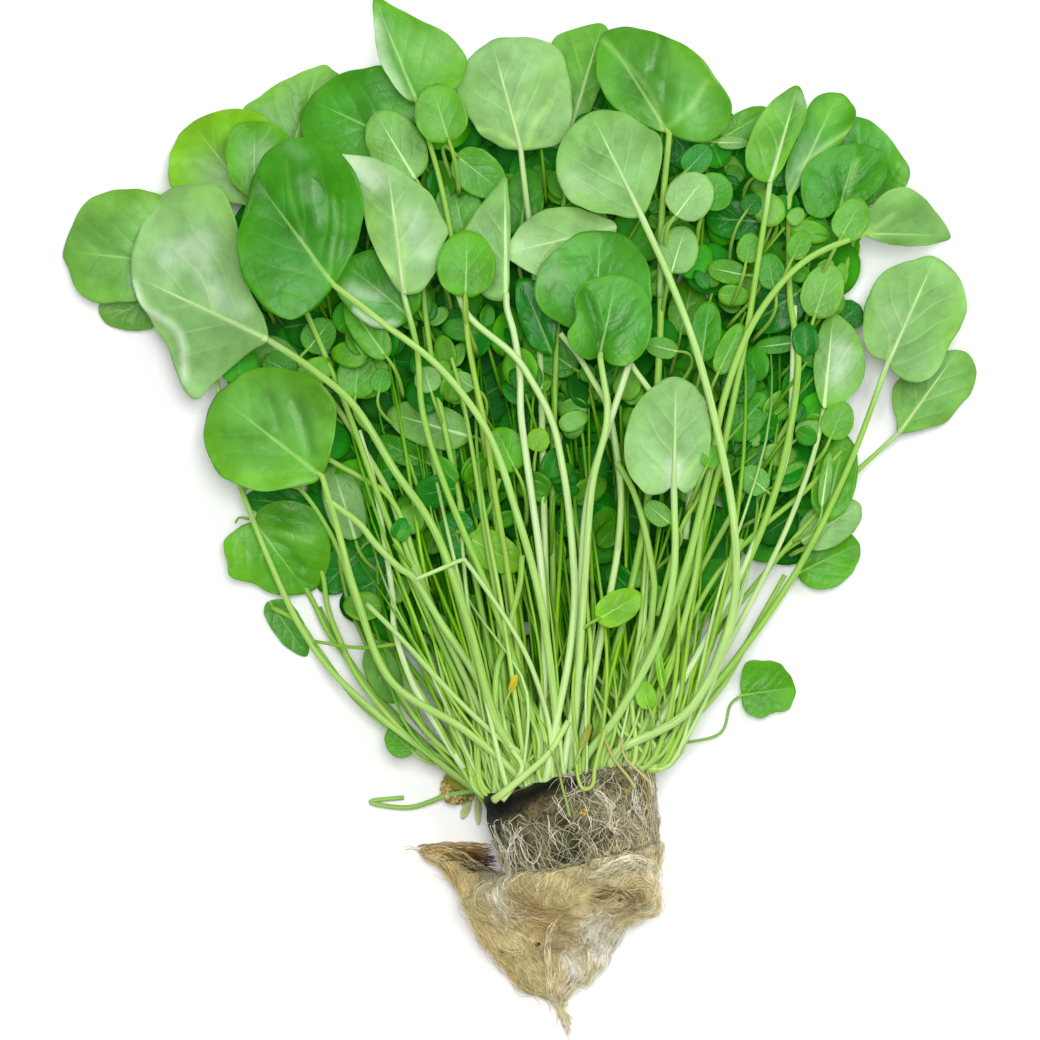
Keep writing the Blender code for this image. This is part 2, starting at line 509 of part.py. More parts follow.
def main():
    clear_scene()
    blades = {name: material(name, colour, BLADE_ROUGHNESS[name]) for name, colour in BLADE_COLOURS.items()}
    low_finish = material("Low leaves", LOW_LEAF_GREEN, 0.5)
    stem_finish = material("Stem", STEM_GREEN, 0.4)
    plug_finish = material("Plug", PLUG_BROWN, 0.95)
    root_finish = material("Root", ROOT_TAN, 0.9)
    leaves = {leaf.name: leaf for leaf in LEAVES}
    for leaf in LEAVES:
        make_leaf(leaf, blades[leaf.finish])
    for stem in STEMS:
        make_stem(stem, leaves[stem.leaf], stem_finish)
    bent = smooth_route([Vector(p) for p in BENT_STEM], 12)
    tube("stem_bent", bent, [BENT_STEM_DIAMETER] * len(bent), stem_finish)
    make_mass("small_stems", SMALL_STEMS, stem_finish)
    make_mass("small_leaves", SMALL_LEAVES, low_finish)
    make_plug(plug_finish)
    make_root_mat(root_finish)


main()
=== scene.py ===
import json
import math
import random
from collections import namedtuple

import bmesh
import bpy
import numpy as np
from bpy.props import FloatProperty, FloatVectorProperty, IntProperty, PointerProperty
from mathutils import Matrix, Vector
from mathutils.bvhtree import BVHTree

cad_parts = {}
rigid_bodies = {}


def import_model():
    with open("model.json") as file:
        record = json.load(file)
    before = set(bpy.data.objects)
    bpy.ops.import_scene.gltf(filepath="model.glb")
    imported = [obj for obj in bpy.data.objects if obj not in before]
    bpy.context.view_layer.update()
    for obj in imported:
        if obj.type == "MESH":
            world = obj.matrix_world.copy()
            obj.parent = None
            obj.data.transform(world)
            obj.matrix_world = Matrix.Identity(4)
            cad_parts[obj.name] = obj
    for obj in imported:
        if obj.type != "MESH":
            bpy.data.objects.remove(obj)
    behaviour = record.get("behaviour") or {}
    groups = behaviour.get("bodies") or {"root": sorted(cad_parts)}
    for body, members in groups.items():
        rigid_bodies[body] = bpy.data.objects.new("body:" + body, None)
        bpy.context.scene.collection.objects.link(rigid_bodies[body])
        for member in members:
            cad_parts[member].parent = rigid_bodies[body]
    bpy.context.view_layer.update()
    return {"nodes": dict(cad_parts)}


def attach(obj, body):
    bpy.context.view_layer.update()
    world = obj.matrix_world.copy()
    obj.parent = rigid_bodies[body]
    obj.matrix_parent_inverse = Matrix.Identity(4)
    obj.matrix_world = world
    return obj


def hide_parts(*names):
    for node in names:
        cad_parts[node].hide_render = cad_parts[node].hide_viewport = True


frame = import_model()

bl_info = {
    "name": "Watercress bunch",
    "version": (1, 0, 0),
    "blender": (4, 5, 0),
    "location": "View3D > Sidebar > Watercress",
    "description": "Leaves, stems, growing plug and root mat of a bunch of watercress lying on its side",
    "category": "Object",
}

# Places and sizes in the tables below are millimetres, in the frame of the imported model.
MM = 0.001
BODY = "root"

UPPER, UNDER, YOUNG, SMALL, SHADED = "upper", "under", "young", "small", "shaded"

# The growing plug's top face, from which the stems rise.
PLUG_TOP = np.array((11.8, -66.0))
PLUG_LEAN_DEG = 12.0
PLUG_HALF_WIDTH = 22.0
PLUG_HEIGHT = 36.0
FACE_GAP = 0.4

# What the gloss of a leaf adds to each colour under the soft light.
SHEEN = 0.035

# How much more than white the light makes of white paper, so that its shadows are lost.
LIGHT = 1.3

# How much lighter than that a round stem has to be, since its sides are turned away, and what its gloss
# adds.
STEM_LIGHT = 1.08
STEM_SHEEN = 0.028

# How close to the floor the plug, mat and crumbs, a blade, the mat's fibres and the roots may come.
SOLID_FLOOR = 0.05
BLADE_FLOOR = 0.5
FIBRE_FLOOR = 0.12
ROOT_FLOOR = 0.15

# How high a root lies on the bare floor.
ON_FLOOR = 0.3

# A height in metres over the whole bunch, and one in millimetres for a place with no leaf over it.
ABOVE_ALL = 0.1
OPEN_SKY = 99.0

# The side veins of a blade, in blade lengths: the step between two, where the first one leaves the
# midrib, how much they slope and bow towards the tip, and how far the two sides are out of step.
VEIN_STEP = 0.24
FIRST_VEIN = -0.10
VEIN_SLOPE = 1.1
VEIN_BOW = 0.45
VEIN_FAN = 0.35
VEIN_OFFSET = 0.4

# How far a blade's halves rise from its midrib and how deep the midrib's groove is, per blade length.
CREASE = 0.10
MIDRIB_GROOVE = 0.010

# How uneven a blade is, each as a height and then a width: how far its veins stray, its soft bend, its
# dents and the nicks in its edge. They are per blade length, and the nicks per distance from its middle.
WOBBLE = (0.02, 0.3)
BEND = (0.032, 0.75)
DENTS = (0.010, 0.28)
NICKS = (0.012, 0.28)

# The patterns of a leaf's skin: how many meshes of fine veins and how many swellings there are to a
# blade's length, and how large the clouds, the patches of painted bluish sheen and the grain are.
FINE_VEINS = 14.0
SWELLINGS = 7.0
CLOUD_SIZE = 9 * MM
BLUISH_SHEEN_SIZE = 18 * MM
GRAIN_SIZE = 0.7 * MM

# The names of the materials that several pieces share.
STEM_SKIN = "Watercress stem, smooth skin"
FINE_ROOTS = "Fine roots"

# The colours of the leaves, from the deepest in the bunch to the palest undersides, then the yellowing
# ones. Each leaf below names one of them.
DEEP = "#108410"
DUSKY = "#348c14"
FOREST = "#4c9a18"
MOSS = "#56a440"
GRASS = "#60ac14"
LEAFY = "#66ac4c"
SPRING = "#6eb24c"
LIME = "#82c440"
SAGE = "#7cb85c"
SOFT = "#88be6e"
PALE = "#92c47a"
MILKY = "#a8dc8c"
STRAW = "#ccc02c"
OLIVE = "#989e42"
CREAM = "#d0e09c"

Leaf = namedtuple("Leaf", "name finish tint base tip left right roll cup arch fold", defaults=(0, 0, 0, 0))
Stem = namedtuple("Stem", "name across height route thickness tint leaf", defaults=(1.0, "#9ccc62", ""))
Sprig = namedtuple("Sprig", "base tip half finish tint height", defaults=(15,))

# Each large blade with what it shows, from its petiole to its tip, and its edge on the left and on the
# right of the midrib, both from the petiole. roll, cup, arch and fold are heights: the left edge over the
# middle, both edges over the midrib, the middle of the midrib over its ends, and both edges over a sharp
# crease at the midrib.
LEAVES = (
    Leaf("left_low", UPPER, SAGE, (-89, 64, 9), (-114, 67, 3),
         ((-90, 57), (-95, 54.5), (-101, 54), (-106, 54), (-110.5, 57), (-112.5, 62)),
         ((-87, 72), (-87, 79), (-94, 82), (-100, 82.2), (-107, 80), (-111, 75)), 0, 0.5, 1.5),
    Leaf("left_under", UPPER, SAGE, (-90, 56, 4), (-104, 49.5, 1.2),
         ((-89, 52), (-91.5, 48), (-96, 47), (-101, 47.8)),
         ((-93, 60), (-98, 60), (-103, 57), (-105.2, 53)), 0, 0.2, 0.3),
    Leaf("left_pale", UNDER, PALE, (-62.5, 44.5, 24), (-97, 61, 9.5),
         ((-66, 42), (-71, 38), (-76, 34), (-80, 30), (-83.5, 32), (-85.5, 37), (-88, 43), (-92, 50),
          (-95, 54.5)),
         ((-63.5, 50), (-67, 57), (-69, 65), (-70.5, 74), (-74, 82), (-80, 83.5), (-86, 82.5),
          (-91, 79.5), (-95, 72)),
         -4, 0, 2),
    Leaf("left_dark", UPPER, FOREST, (-46, 57.8, 34), (-66, 85, 28),
         ((-47.5, 55.5), (-51, 52), (-56, 49.5), (-61, 51), (-65, 54.5), (-68.5, 60), (-70, 66), (-69.5, 72),
          (-67.5, 79)),
         ((-44.5, 60), (-41, 66), (-39, 73), (-39, 80), (-41, 86), (-44, 90), (-48, 93.5), (-53, 94.5),
          (-58, 94), (-63, 90.5)), -1.5, 0.5, 1.5),
    Leaf("upper_left_bright", YOUNG, LIME, (-66, 78.5, 11), (-82, 99, 4),
         ((-72, 79), (-78, 80), (-84, 81), (-87.5, 84), (-87.5, 89), (-86, 94.5)),
         ((-62, 84), (-59.5, 90), (-60, 96), (-64, 100.5), (-70, 102.3), (-76, 101.7)), 0, 1, 1),
    Leaf("upper_left_small", YOUNG, GRASS, (-66, 79.5, 18), (-66, 99, 13),
         ((-71, 83), (-73, 88), (-73, 94), (-70.5, 98)),
         ((-61.5, 83), (-58, 88), (-57, 93), (-60, 97.5)), 0, 0.5, 1),
    Leaf("top_left_pale", YOUNG, SAGE, (-57, 92, 5), (-50, 113.3, 2),
         ((-62, 93.5), (-66.5, 97), (-69, 102), (-65, 105.5), (-59, 109.5)),
         ((-51, 92), (-46, 97), (-43.5, 103), (-44, 109), (-46.5, 112)), 0, 0.5, 1),
    Leaf("top_left_dark", UPPER, MOSS, (-30, 94, 14.5), (-52.5, 104.5, 10),
         ((-35, 90.5), (-42, 90), (-49, 91), (-53.5, 94.5), (-54.8, 99)),
         ((-26, 97.5), (-25.5, 103), (-28.5, 108.5), (-33.5, 112.7), (-40, 112), (-47, 109.7)), 0, -1, 1.5),
    Leaf("top_folded", YOUNG, SPRING, (-25.5, 103.5, 20), (-36.3, 129.7, 20),
         ((-29, 105), (-32.5, 109.5), (-35, 114.5), (-36, 121)),
         ((-20, 105.5), (-15, 108), (-13.2, 114), (-17.5, 120), (-24, 123.5), (-31, 127)), 2, 0, 1, 3),
    Leaf("centre_left_pale", UNDER, PALE, (-28.8, 55.5, 27), (-33, 89, 19.5),
         ((-32.5, 60), (-37, 69), (-39, 77), (-41, 84), (-45.5, 90.5), (-40, 90)),
         ((-24, 57), (-20.5, 62), (-19, 68), (-17.5, 71.5), (-20, 76), (-22, 80.5), (-27, 84.5)), 0, 1, 1.5),
    Leaf("top_centre_pale", UNDER, PALE, (0.2, 91.5, 20), (-7, 119, 12),
         ((-5, 92.5), (-10, 96), (-13, 100), (-15.5, 105), (-15.7, 110), (-13, 114.5)),
         ((5, 92), (10, 93.5), (12.5, 98), (13, 104), (12, 111), (9.5, 117), (5, 119.3),
          (-1, 120)), 0, -1, 2),
    Leaf("top_centre_back", UNDER, SPRING, (12, 95, 7), (20.5, 123.7, 3.5),
         ((9, 100), (7.5, 108), (7, 115), (9, 120.5), (14, 122.5)),
         ((16, 99), (19, 105), (21.5, 112), (22.5, 119)), 0, 0.5, 1),
    Leaf("top_right_round", UPPER, LEAFY, (37, 95.5, 23), (21, 121, 15),
         ((33, 96.7), (28, 99), (23.5, 102), (20, 107), (19, 112), (19.2, 117)),
         ((42, 93.7), (47, 93.7), (51, 97), (52.5, 102), (51, 106), (48, 110), (45, 114.5), (40, 118),
          (35, 120.5), (30, 121.8), (25.5, 122.3)), 0, 1, 2),
    Leaf("centre_right_pale", UNDER, SOFT, (30, 75, 32), (17.5, 100.8, 26),
         ((26.5, 74.5), (21.5, 75.5), (16.5, 76.5), (12, 79), (9.5, 84), (9.2, 90), (12, 96.5)),
         ((32.5, 79), (34.5, 86), (35, 94), (30.5, 97.7), (24.5, 101)), 0, 1, 1.5),
    Leaf("right_narrow", UNDER, SPRING, (62, 83.5, 26), (69, 107.5, 21),
         ((59, 84), (56.5, 86.5), (55.8, 90), (57, 95), (59.5, 100), (63.5, 104.5)),
         ((64.5, 86), (67, 91), (69.5, 96), (71.2, 101.5)), 0, 1, 1),
    Leaf("right_bright", YOUNG, FOREST, (67, 80, 14), (79.5, 106.3, 8),
         ((66, 85), (66.8, 90), (69.8, 96), (71.3, 101.5), (74, 105.3)),
         ((70.5, 84), (76, 89), (81, 95), (83.7, 100.5), (82.7, 104)), 0, 1, 1),
    Leaf("right_back", UPPER, MOSS, (85, 78, 5), (84.5, 100.5, 2.5),
         ((80, 80), (76, 86), (76, 93), (79, 99)),
         ((91, 80), (96, 82.5), (97.3, 87), (94.5, 92), (90, 97.5)), 0, 0.5, 1),
    Leaf("right_dark", UPPER, FOREST, (79.5, 77.5, 16), (84, 93.5, 12.5),
         ((76, 74.8), (72, 75.5), (70, 80), (70, 85.5), (73, 90), (78, 92.5)),
         ((84, 78), (89, 82), (91.5, 86.5), (90, 91.5)), 0, 0.3, 0.5),
    Leaf("right_tip", YOUNG, SOFT, (85.5, 71, 19), (107.3, 70.7, 9),
         ((86.2, 75), (88.5, 79), (92, 81.8), (96, 82.3), (100, 80.3), (104, 76)),
         ((89, 69), (94, 68), (100, 68), (105, 69)), 2, 0, 1),
    Leaf("centre_back", UNDER, MILKY, (24, 72.5, 21), (-3.7, 66, 18),
         ((21, 66), (15, 60), (9, 58), (3, 61), (-1.5, 63.5)),
         ((18, 76), (13, 77.5), (7, 77), (2, 74.5), (-2, 70)), 0, 0.3, 0.5),
    Leaf("centre_dark", UPPER, MOSS, (18.5, 46, 27), (20, 71.5, 24.5),
         ((12, 47.5), (6, 51), (3.5, 56), (5, 62.5), (10, 67.5), (14.5, 70.8)),
         ((26, 47), (31, 49), (32.7, 55), (32, 62), (29, 67.5), (25, 70.5)), 0, 0.5, 1),
    Leaf("centre_round", UPPER, MOSS, (19.8, 40, 34), (24, 60.7, 31),
         ((16.5, 39.3), (13, 42), (11.7, 46), (13.8, 49.8), (13.3, 54), (16, 58.5)),
         ((22.5, 38.2), (26, 37.7), (29.5, 40), (32, 44), (32.7, 49), (32, 54), (29, 58.5)), 0, 0.5, 1),
    Leaf("far_right", UNDER, SOFT, (91.5, 39, 16), (103.5, 65.3, 10.5),
         ((87.5, 40.5), (85.3, 45), (85.5, 51), (87.2, 57), (91, 61.8), (97, 64.3)),
         ((93, 36.5), (96.5, 34.2), (101, 34.5), (105, 38.5), (107, 43.5), (110, 48.5), (111.3, 53.5),
          (109, 60.5)), 0, 0.5, 1),
    Leaf("far_right_low", UNDER, SAGE, (94.5, 21.5, 6), (109.5, 42.2, 2),
         ((93.8, 25), (92.8, 30), (93.7, 34), (98, 37.5), (104, 41.3)),
         ((99, 22), (104, 23.3), (107, 24.7), (110, 28.5), (113, 32), (114, 36.5),
          (112.7, 40.5)), 0, 0.5, 0.5),
    Leaf("right_upright", UNDER, SAGE, (75.5, 27.5, 17), (78, 51.3, 13),
         ((73.8, 31), (73, 37), (73.5, 43), (75, 48)),
         ((79, 28.4), (82.5, 30.8), (85, 34), (85.8, 38.5), (85, 43.5), (82, 48.5)), 0, 0.5, 1),
    Leaf("front_centre", UNDER, PALE, (38, 8, 37.5), (38.5, 35, 35),
         ((35, 6.2), (31, 6.3), (28, 9.5), (26, 14), (25.8, 19.5), (27.5, 26), (31, 31), (34.5, 34)),
         ((41, 6.5), (44.5, 10), (46.8, 16), (47, 23), (45.5, 29.5), (42.5, 33.5)), 0, 0.5, 1.5),
    Leaf("left_broad", UPPER, SPRING, (-49, 10.5, 24), (-75.5, 31, 14),
         ((-52.5, 8.7), (-58, 7.5), (-65, 7), (-70, 8.5), (-74.5, 11), (-77.5, 15.5), (-78.7, 20.5),
          (-77.8, 26)),
         ((-47.5, 14), (-46.3, 19), (-45.5, 25), (-47, 31), (-51, 35), (-56, 37), (-62, 38),
          (-68, 36.7), (-72.5, 33.7)),
         0, 0.5, 2),
    Leaf("left_lower", UPPER, GRASS, (-66.5, -0.5, 7), (-53, -18.5, 3),
         ((-65, 2.5), (-60.5, 4.5), (-55, 4.2), (-50.5, 2), (-47.7, -3.5), (-47.3, -10), (-49.5, -15.5)),
         ((-70, -2), (-73.8, -5.5), (-73, -11), (-72, -14.5), (-67, -16), (-62.5, -18.3),
          (-58, -19)), 0, 0.5, 0.5),
    Leaf("left_hanging", UPPER, LEAFY, (-62.5, -20.5, 3), (-53.3, -34.3, 1),
         ((-58, -20.5), (-54.5, -25), (-52.9, -30)),
         ((-64, -23), (-62, -27.5), (-58, -32.3)), 0, 0.3, 0.3),
    Leaf("stray", UPPER, GRASS, (55.3, -44, 3), (68.8, -42, 1.5),
         ((55.2, -39.5), (56.5, -36), (60, -35.3), (65, -36.2)),
         ((56.3, -48), (60, -49.7), (63.5, -48.3), (67.2, -47.5)), 0, 0.5, 0.5),
    Leaf("right_lower", UPPER, GRASS, (69.5, -13.5, 4), (84.7, -6, 2.5),
         ((70.5, -8), (75, -3.5), (81, -3)),
         ((71.5, -16.5), (76, -17.6), (81, -15.5), (84.4, -11)), 0, 0.3, 0.5),
)

# Strokes of another tone on a leaf: painted shade in creases, folds and turned-away parts, painted
# highlights and bluish sheen, yellower or deeper green skin, and pale veins. Each has its tone, its half
# width, its strength, how high it lifts the blade, and its route.
Mark = namedtuple("Mark", "tone width share lift route")
MARKS = {
    "left_low": (
        Mark("dark_lime", 5, 0.6, 0, ((-104, 77.8), (-92.5, 80.2))),
        Mark("dark", 2.5, 0.35, -0.3, ((-107.9, 73.8), (-106.2, 71.2))),
        Mark("bluish_sheen", 6, 0.4, 0, ((-100.8, 64.2),)),
        Mark("dark", 1, 0.35, -0.3, ((-106.5, 69.2), (-96.2, 64.8))),
    ),
    "left_pale": (
        Mark("sheen", 3.5, 0.6, 0.3, ((-86.8, 65.5), (-79, 68.8))),
        Mark("sheen", 3, 0.5, 0.3, ((-79.2, 61.8), (-74, 54))),
        Mark("sheen", 2.5, 0.45, 0.2, ((-69, 51.5),)),
        Mark("sheen", 1.1, 0.7, 1, ((-96.5, 59), (-93.8, 52.8), (-86.8, 48.2), (-84.2, 43.8), (-83.5, 34.8))),
        Mark("dark", 6, 0.22, 0, ((-78.5, 41.2), (-69, 43.8))),
        Mark("dark", 0.9, 0.3, -0.5, ((-86.8, 66.2), (-81.8, 64.2), (-76.5, 59))),
        Mark("dark", 0.9, 0.22, -0.3, ((-85.5, 70), (-79.2, 72.5), (-71.5, 73.8))),
        Mark("lime", 4, 0.25, 0, ((-79.2, 80.8), (-69.5, 77))),
    ),
    "left_dark": (
        Mark("dark_lime", 4, 0.4, 0, ((-42.5, 87.2), (-41.8, 76), (-43.8, 67.2))),
        Mark("dark", 3.2, 0.45, -0.4, ((-66.8, 83.8), (-59, 72.8), (-54, 66.5))),
        Mark("sheen", 2.2, 0.14, 0.2, ((-57.2, 92), (-54, 90))),
        Mark("sheen", 1.5, 0.18, 0.3, ((-54, 83.8), (-52.8, 79.2))),
        Mark("bluish_sheen", 6, 0.4, 0, ((-66.8, 65.2), (-60.2, 57.5))),
        Mark("pale", 0.6, 0.2, -0.4, ((-50, 62), (-53, 69), (-56.5, 79.2), (-57.8, 88.8))),
        Mark("pale", 0.5, 0.22, -0.3, ((-47, 60), (-46, 66), (-45, 74), (-46, 80))),
        Mark("sheen", 0.8, 0.12, 0.5, ((-50, 72), (-51.5, 80), (-52, 86))),
    ),
    "upper_left_small": (
        Mark("sheen", 4, 0.35, 0, ((-64.5, 91), (-63, 83.5))),
        Mark("dark", 0.9, 0.3, -0.3, ((-64.5, 82.2), (-67.5, 89.8))),
    ),
    "upper_left_bright": (
        Mark("sheen", 5, 0.35, 0, ((-76.2, 86), (-70, 82.2))),
        Mark("dark", 1, 0.3, -0.3, ((-82.5, 88.5), (-73.8, 84.8))),
    ),
    "top_left_dark": (
        Mark("bluish_sheen", 5, 0.6, 0.3, ((-46.2, 98.5), (-45, 94.8))),
        Mark("dark", 4, 0.35, 0, ((-55, 101.8), (-57.2, 97))),
        Mark("lime", 2, 0.4, 0, ((-31.2, 101), (-29.5, 96))),
    ),
    "centre_left_pale": (
        Mark("sheen", 4, 0.8, 0.3, ((-44.5, 89.2), (-37, 84.8))),
        Mark("dark_lime", 2.4, 0.5, 0, ((-37.2, 79.8), (-35.5, 69))),
        Mark("sheen", 3.5, 0.45, 0, ((-26.5, 74), (-24, 66.5))),
        Mark("pale", 0.9, 0.5, 0.2, ((-29, 56.8), (-29, 69), (-31, 74.8))),
        Mark("pale", 0.9, 0.4, 0.2, ((-30, 58.5), (-34, 64))),
    ),
    "top_centre_pale": (
        Mark("pale", 0.9, 0.7, 0.3, ((1.8, 92.8), (4.2, 99.2), (7.5, 103.8))),
        Mark("pale", 0.9, 0.6, 0.3, ((-1.5, 92.8), (-7.2, 96), (-11.8, 96.8))),
        Mark("pale", 0.8, 0.4, 0.2, ((-1.5, 97.2), (1, 105.5))),
        Mark("dark_lime", 4, 0.3, -0.3, ((7, 109.8), (5, 106))),
        Mark("dark", 2, 0.25, 0, ((-10, 92.2), (-3.8, 90.2))),
    ),
    "centre_right_pale": (
        Mark("dark", 0.9, 0.28, -0.4, ((15.8, 94.8), (18.2, 89))),
        Mark("dark", 0.9, 0.28, -0.4, ((24, 94), (19.5, 89))),
        Mark("lime", 3, 0.3, 0, ((12.5, 82.2), (20, 76.5))),
        Mark("sheen", 4, 0.3, 0, ((13.8, 83.5),)),
    ),
    "top_right_round": (
        Mark("dark", 1.8, 0.5, -0.4, ((28.5, 108.8),)),
        Mark("dark", 1.5, 0.4, -0.3, ((29.8, 106.2),)),
        Mark("dark", 2, 0.3, -0.2, ((37.5, 105),)),
        Mark("dark", 1.4, 0.5, -0.9, ((35.5, 119), (34.5, 115.2), (33.5, 111.2))),
        Mark("lime", 5, 0.5, 0.2, ((41.2, 114.5), (46.5, 109.5))),
        Mark("pale", 0.8, 0.5, -0.2, ((35.5, 95.2), (34.2, 101.8), (31, 108), (25.2, 114.5), (20.8, 119))),
        Mark("dark", 5, 0.3, 0, ((23, 117), (27, 107), (33, 101))),
        Mark("bluish_sheen", 5, 0.35, 0, ((22.5, 112.2), (25, 106))),
        Mark("pale", 0.8, 0.35, -0.1, ((36.5, 97.2), (42.5, 102.2), (46.2, 108.5))),
    ),
    "left_broad": (
        Mark("bluish_sheen", 7, 0.6, 0.2, ((-67, 31.2), (-61.2, 22.2))),
        Mark("dark_lime", 3.6, 0.5, 0, ((-62.5, 37), (-52.5, 33.5), (-46.8, 27.2))),
        Mark("dark_lime", 3, 0.35, 0, ((-76.8, 22.2), (-74.5, 14.8))),
        Mark("lime", 3, 0.4, 0, ((-69.2, 9.5), (-55, 10.2))),
        Mark("dark", 1, 0.35, -0.4, ((-64.8, 33), (-61.2, 29), (-59.5, 23.5))),
        Mark("dark", 1.3, 0.55, -0.9, ((-55.5, 29), (-53.2, 23.5), (-51.5, 16.5))),
        Mark("dark_lime", 2.2, 0.4, 0, ((-49.8, 21), (-48.2, 23.5))),
        Mark("dark", 0.9, 0.25, -0.2, ((-75, 22.2), (-71.5, 20.5), (-63.8, 20))),
    ),
    "left_lower": (
        Mark("dark", 5, 0.5, 0, ((-64, 2), (-54.2, 0))),
        Mark("lime", 3, 0.3, 0.2, ((-64.8, -2.8), (-52.2, -6.5))),
        Mark("lime", 5, 0.6, 0, ((-70.5, -5.8), (-67.8, -13.5))),
        Mark("dark", 1, 0.4, -0.5, ((-64.8, -3), (-58.8, -6.5), (-54.2, -12))),
        Mark("pale", 0.8, 0.3, 0, ((-64.8, -3), (-52, -5))),
        Mark("dark", 5, 0.25, 0, ((-54.2, -16.8),)),
    ),
    "centre_dark": (
        Mark("bluish_sheen", 6, 0.6, 0.2, ((14.5, 68.2), (28.2, 65.5))),
        Mark("dark_lime", 4, 0.5, 0, ((7.2, 53.5), (11.8, 50.5))),
        Mark("sheen", 3.5, 0.22, 0.2, ((7.8, 60.5),)),
        Mark("dark", 0.9, 0.3, -0.3, ((10, 63.5), (16.2, 64.2))),
    ),
    "centre_round": (
        Mark("dark", 1.6, 0.6, -1.2, ((16, 55.5), (18.2, 49), (19.5, 40))),
        Mark("lime", 3, 0.35, 0.3, ((13.2, 46.8),)),
        Mark("bluish_sheen", 4, 0.4, 0, ((25, 54.5), (29.5, 51.2))),
        Mark("lime", 3, 0.35, 0, ((26, 40),)),
        Mark("dark", 0.9, 0.25, -0.3, ((19.5, 44), (26, 49.5), (28.2, 54))),
    ),
    "centre_back": (
        Mark("lime", 3, 0.4, 0, ((10, 74.2), (16.2, 75.2))),
        Mark("pale", 0.8, 0.4, 0, ((5, 71.2), (8.2, 66.8))),
        Mark("sheen", 4, 0.25, 0, ((0.5, 68.5),)),
    ),
    "front_centre": (
        Mark("sheen", 2.2, 0.75, 0.3, ((37.8, 7.8), (38.2, 13))),
        Mark("pale", 0.8, 0.35, 0.1, ((39.5, 8.8), (45, 15.8))),
        Mark("pale", 0.8, 0.35, 0.1, ((36.5, 9.5), (33.2, 13))),
        Mark("dark", 4, 0.12, 0, ((42.5, 28.5), (44.2, 22.2))),
    ),
    "right_narrow": (
        Mark("dark", 1.2, 0.35, -0.5, ((68.5, 101.8), (66, 93))),
        Mark("sheen", 2, 0.3, 0, ((70, 104.2),)),
        Mark("lime", 3, 0.3, 0, ((61.2, 99.8), (60, 92.2))),
    ),
    "right_bright": (
        Mark("lime", 4, 0.6, 0, ((78.8, 103.5), (75.5, 99.8))),
        Mark("sheen", 3.5, 0.2, 0, ((72, 92.2), (68, 82.2))),
        Mark("pale", 0.9, 0.5, 0.2, ((83.2, 97.5), (75.2, 92.2), (70, 87))),
    ),
    "right_dark": (
        Mark("dark", 0.9, 0.4, -0.5, ((80.8, 78.2), (78.8, 87))),
        Mark("pale", 0.8, 0.4, -0.2, ((80.8, 78.2), (84, 89.5))),
        Mark("dark", 0.9, 0.35, -0.4, ((80, 79.8), (73.2, 85.5))),
        Mark("dark", 1, 0.3, -0.3, ((82.5, 82.2), (88.8, 88.5))),
    ),
    "right_back": (
        Mark("lime", 3, 0.5, 0, ((95, 88.5), (96, 84.8))),
        Mark("bluish_sheen", 4, 0.4, 0, ((90, 92.2),)),
    ),
    "right_tip": (
        Mark("dark", 1.6, 0.45, -0.4, ((85, 68.5), (105, 69))),
        Mark("lime", 3, 0.3, 0, ((96.2, 78.5),)),
        Mark("pale", 0.9, 0.5, 0.2, ((82.5, 69.8), (87.5, 71.8), (92.5, 75.2))),
    ),
    "far_right": (
        Mark("lime", 3.5, 0.5, 0.2, ((109, 54.5), (106.5, 45.2))),
        Mark("dark", 2.5, 0.22, -0.3, ((98, 41.8), (104, 48.2))),
        Mark("pale", 0.8, 0.5, 0.1, ((91.8, 39.8), (91.5, 45.2))),
        Mark("sheen", 4, 0.2, 0, ((93.8, 49.8),)),
    ),
    "far_right_low": (
        Mark("dark", 2.2, 0.3, 0, ((96.2, 29.8),)),
        Mark("bluish_sheen", 4, 0.3, 0, ((105, 32.2),)),
    ),
    "right_upright": (
        Mark("sheen", 3.5, 0.55, 0.2, ((80.2, 41.8), (78.2, 36.2))),
        Mark("dark", 1.3, 0.4, 0, ((74, 46.5), (73.8, 42.2))),
        Mark("lime", 1.6, 0.45, 0, ((84, 47.2), (84.8, 42.2))),
    ),
    "top_folded": (
        Mark("lime", 4, 0.5, 0, ((-25, 114.8), (-18.8, 111))),
        Mark("sheen", 2.6, 0.6, 0.5, ((-36, 122), (-34.5, 113), (-30, 104))),
        Mark("dark", 0.7, 0.4, -0.3, ((-34, 125), (-31.5, 115), (-27.5, 106))),
        Mark("dark", 0.9, 0.3, -0.3, ((-30, 112.2), (-26.2, 106))),
    ),
    "top_centre_back": (
        Mark("lime", 3, 0.35, 0, ((15, 119.8), (13.8, 109.8))),
    ),
    "glossy": (
        Mark("sheen", 2, 0.5, 0.3, ((-42, 57), (-36, 55.5))),
        Mark("sheen", 0.9, 0.8, 0.2, ((-41, 51.5), (-36, 48.6), (-31, 48.6))),
        Mark("dark", 3, 0.4, -0.2, ((-38, 61), (-31, 58))),
    ),
    "top_left_pale": (
        Mark("lime", 4, 0.35, 0, ((-60, 107.2), (-50, 109.8))),
    ),
}

# What a tone makes of the leaf's own colour: the factor for it, and what is added. A stroke whose tone is a
# colour covers what is there.
TONES = {
    # dark is painted shade, and sheen and bluish_sheen are painted highlights and reflections; lime,
    # dark_lime and pale are the leaf's own colour.
    "dark": ((0.36, 0.50, 0.28), "#000000"),
    "dark_lime": ((0.80, 0.85, 0.30), "#000000"),
    "bluish_sheen": ((1.20, 1.10, 1.55), "#000000"),
    "lime": ((0.35, 0.35, 0.2), "#67a821"),
    "sheen": ((0.10, 0.10, 0.10), "#cde3c4"),
    "pale": ((0.25, 0.25, 0.25), "#a2cf70"),
}

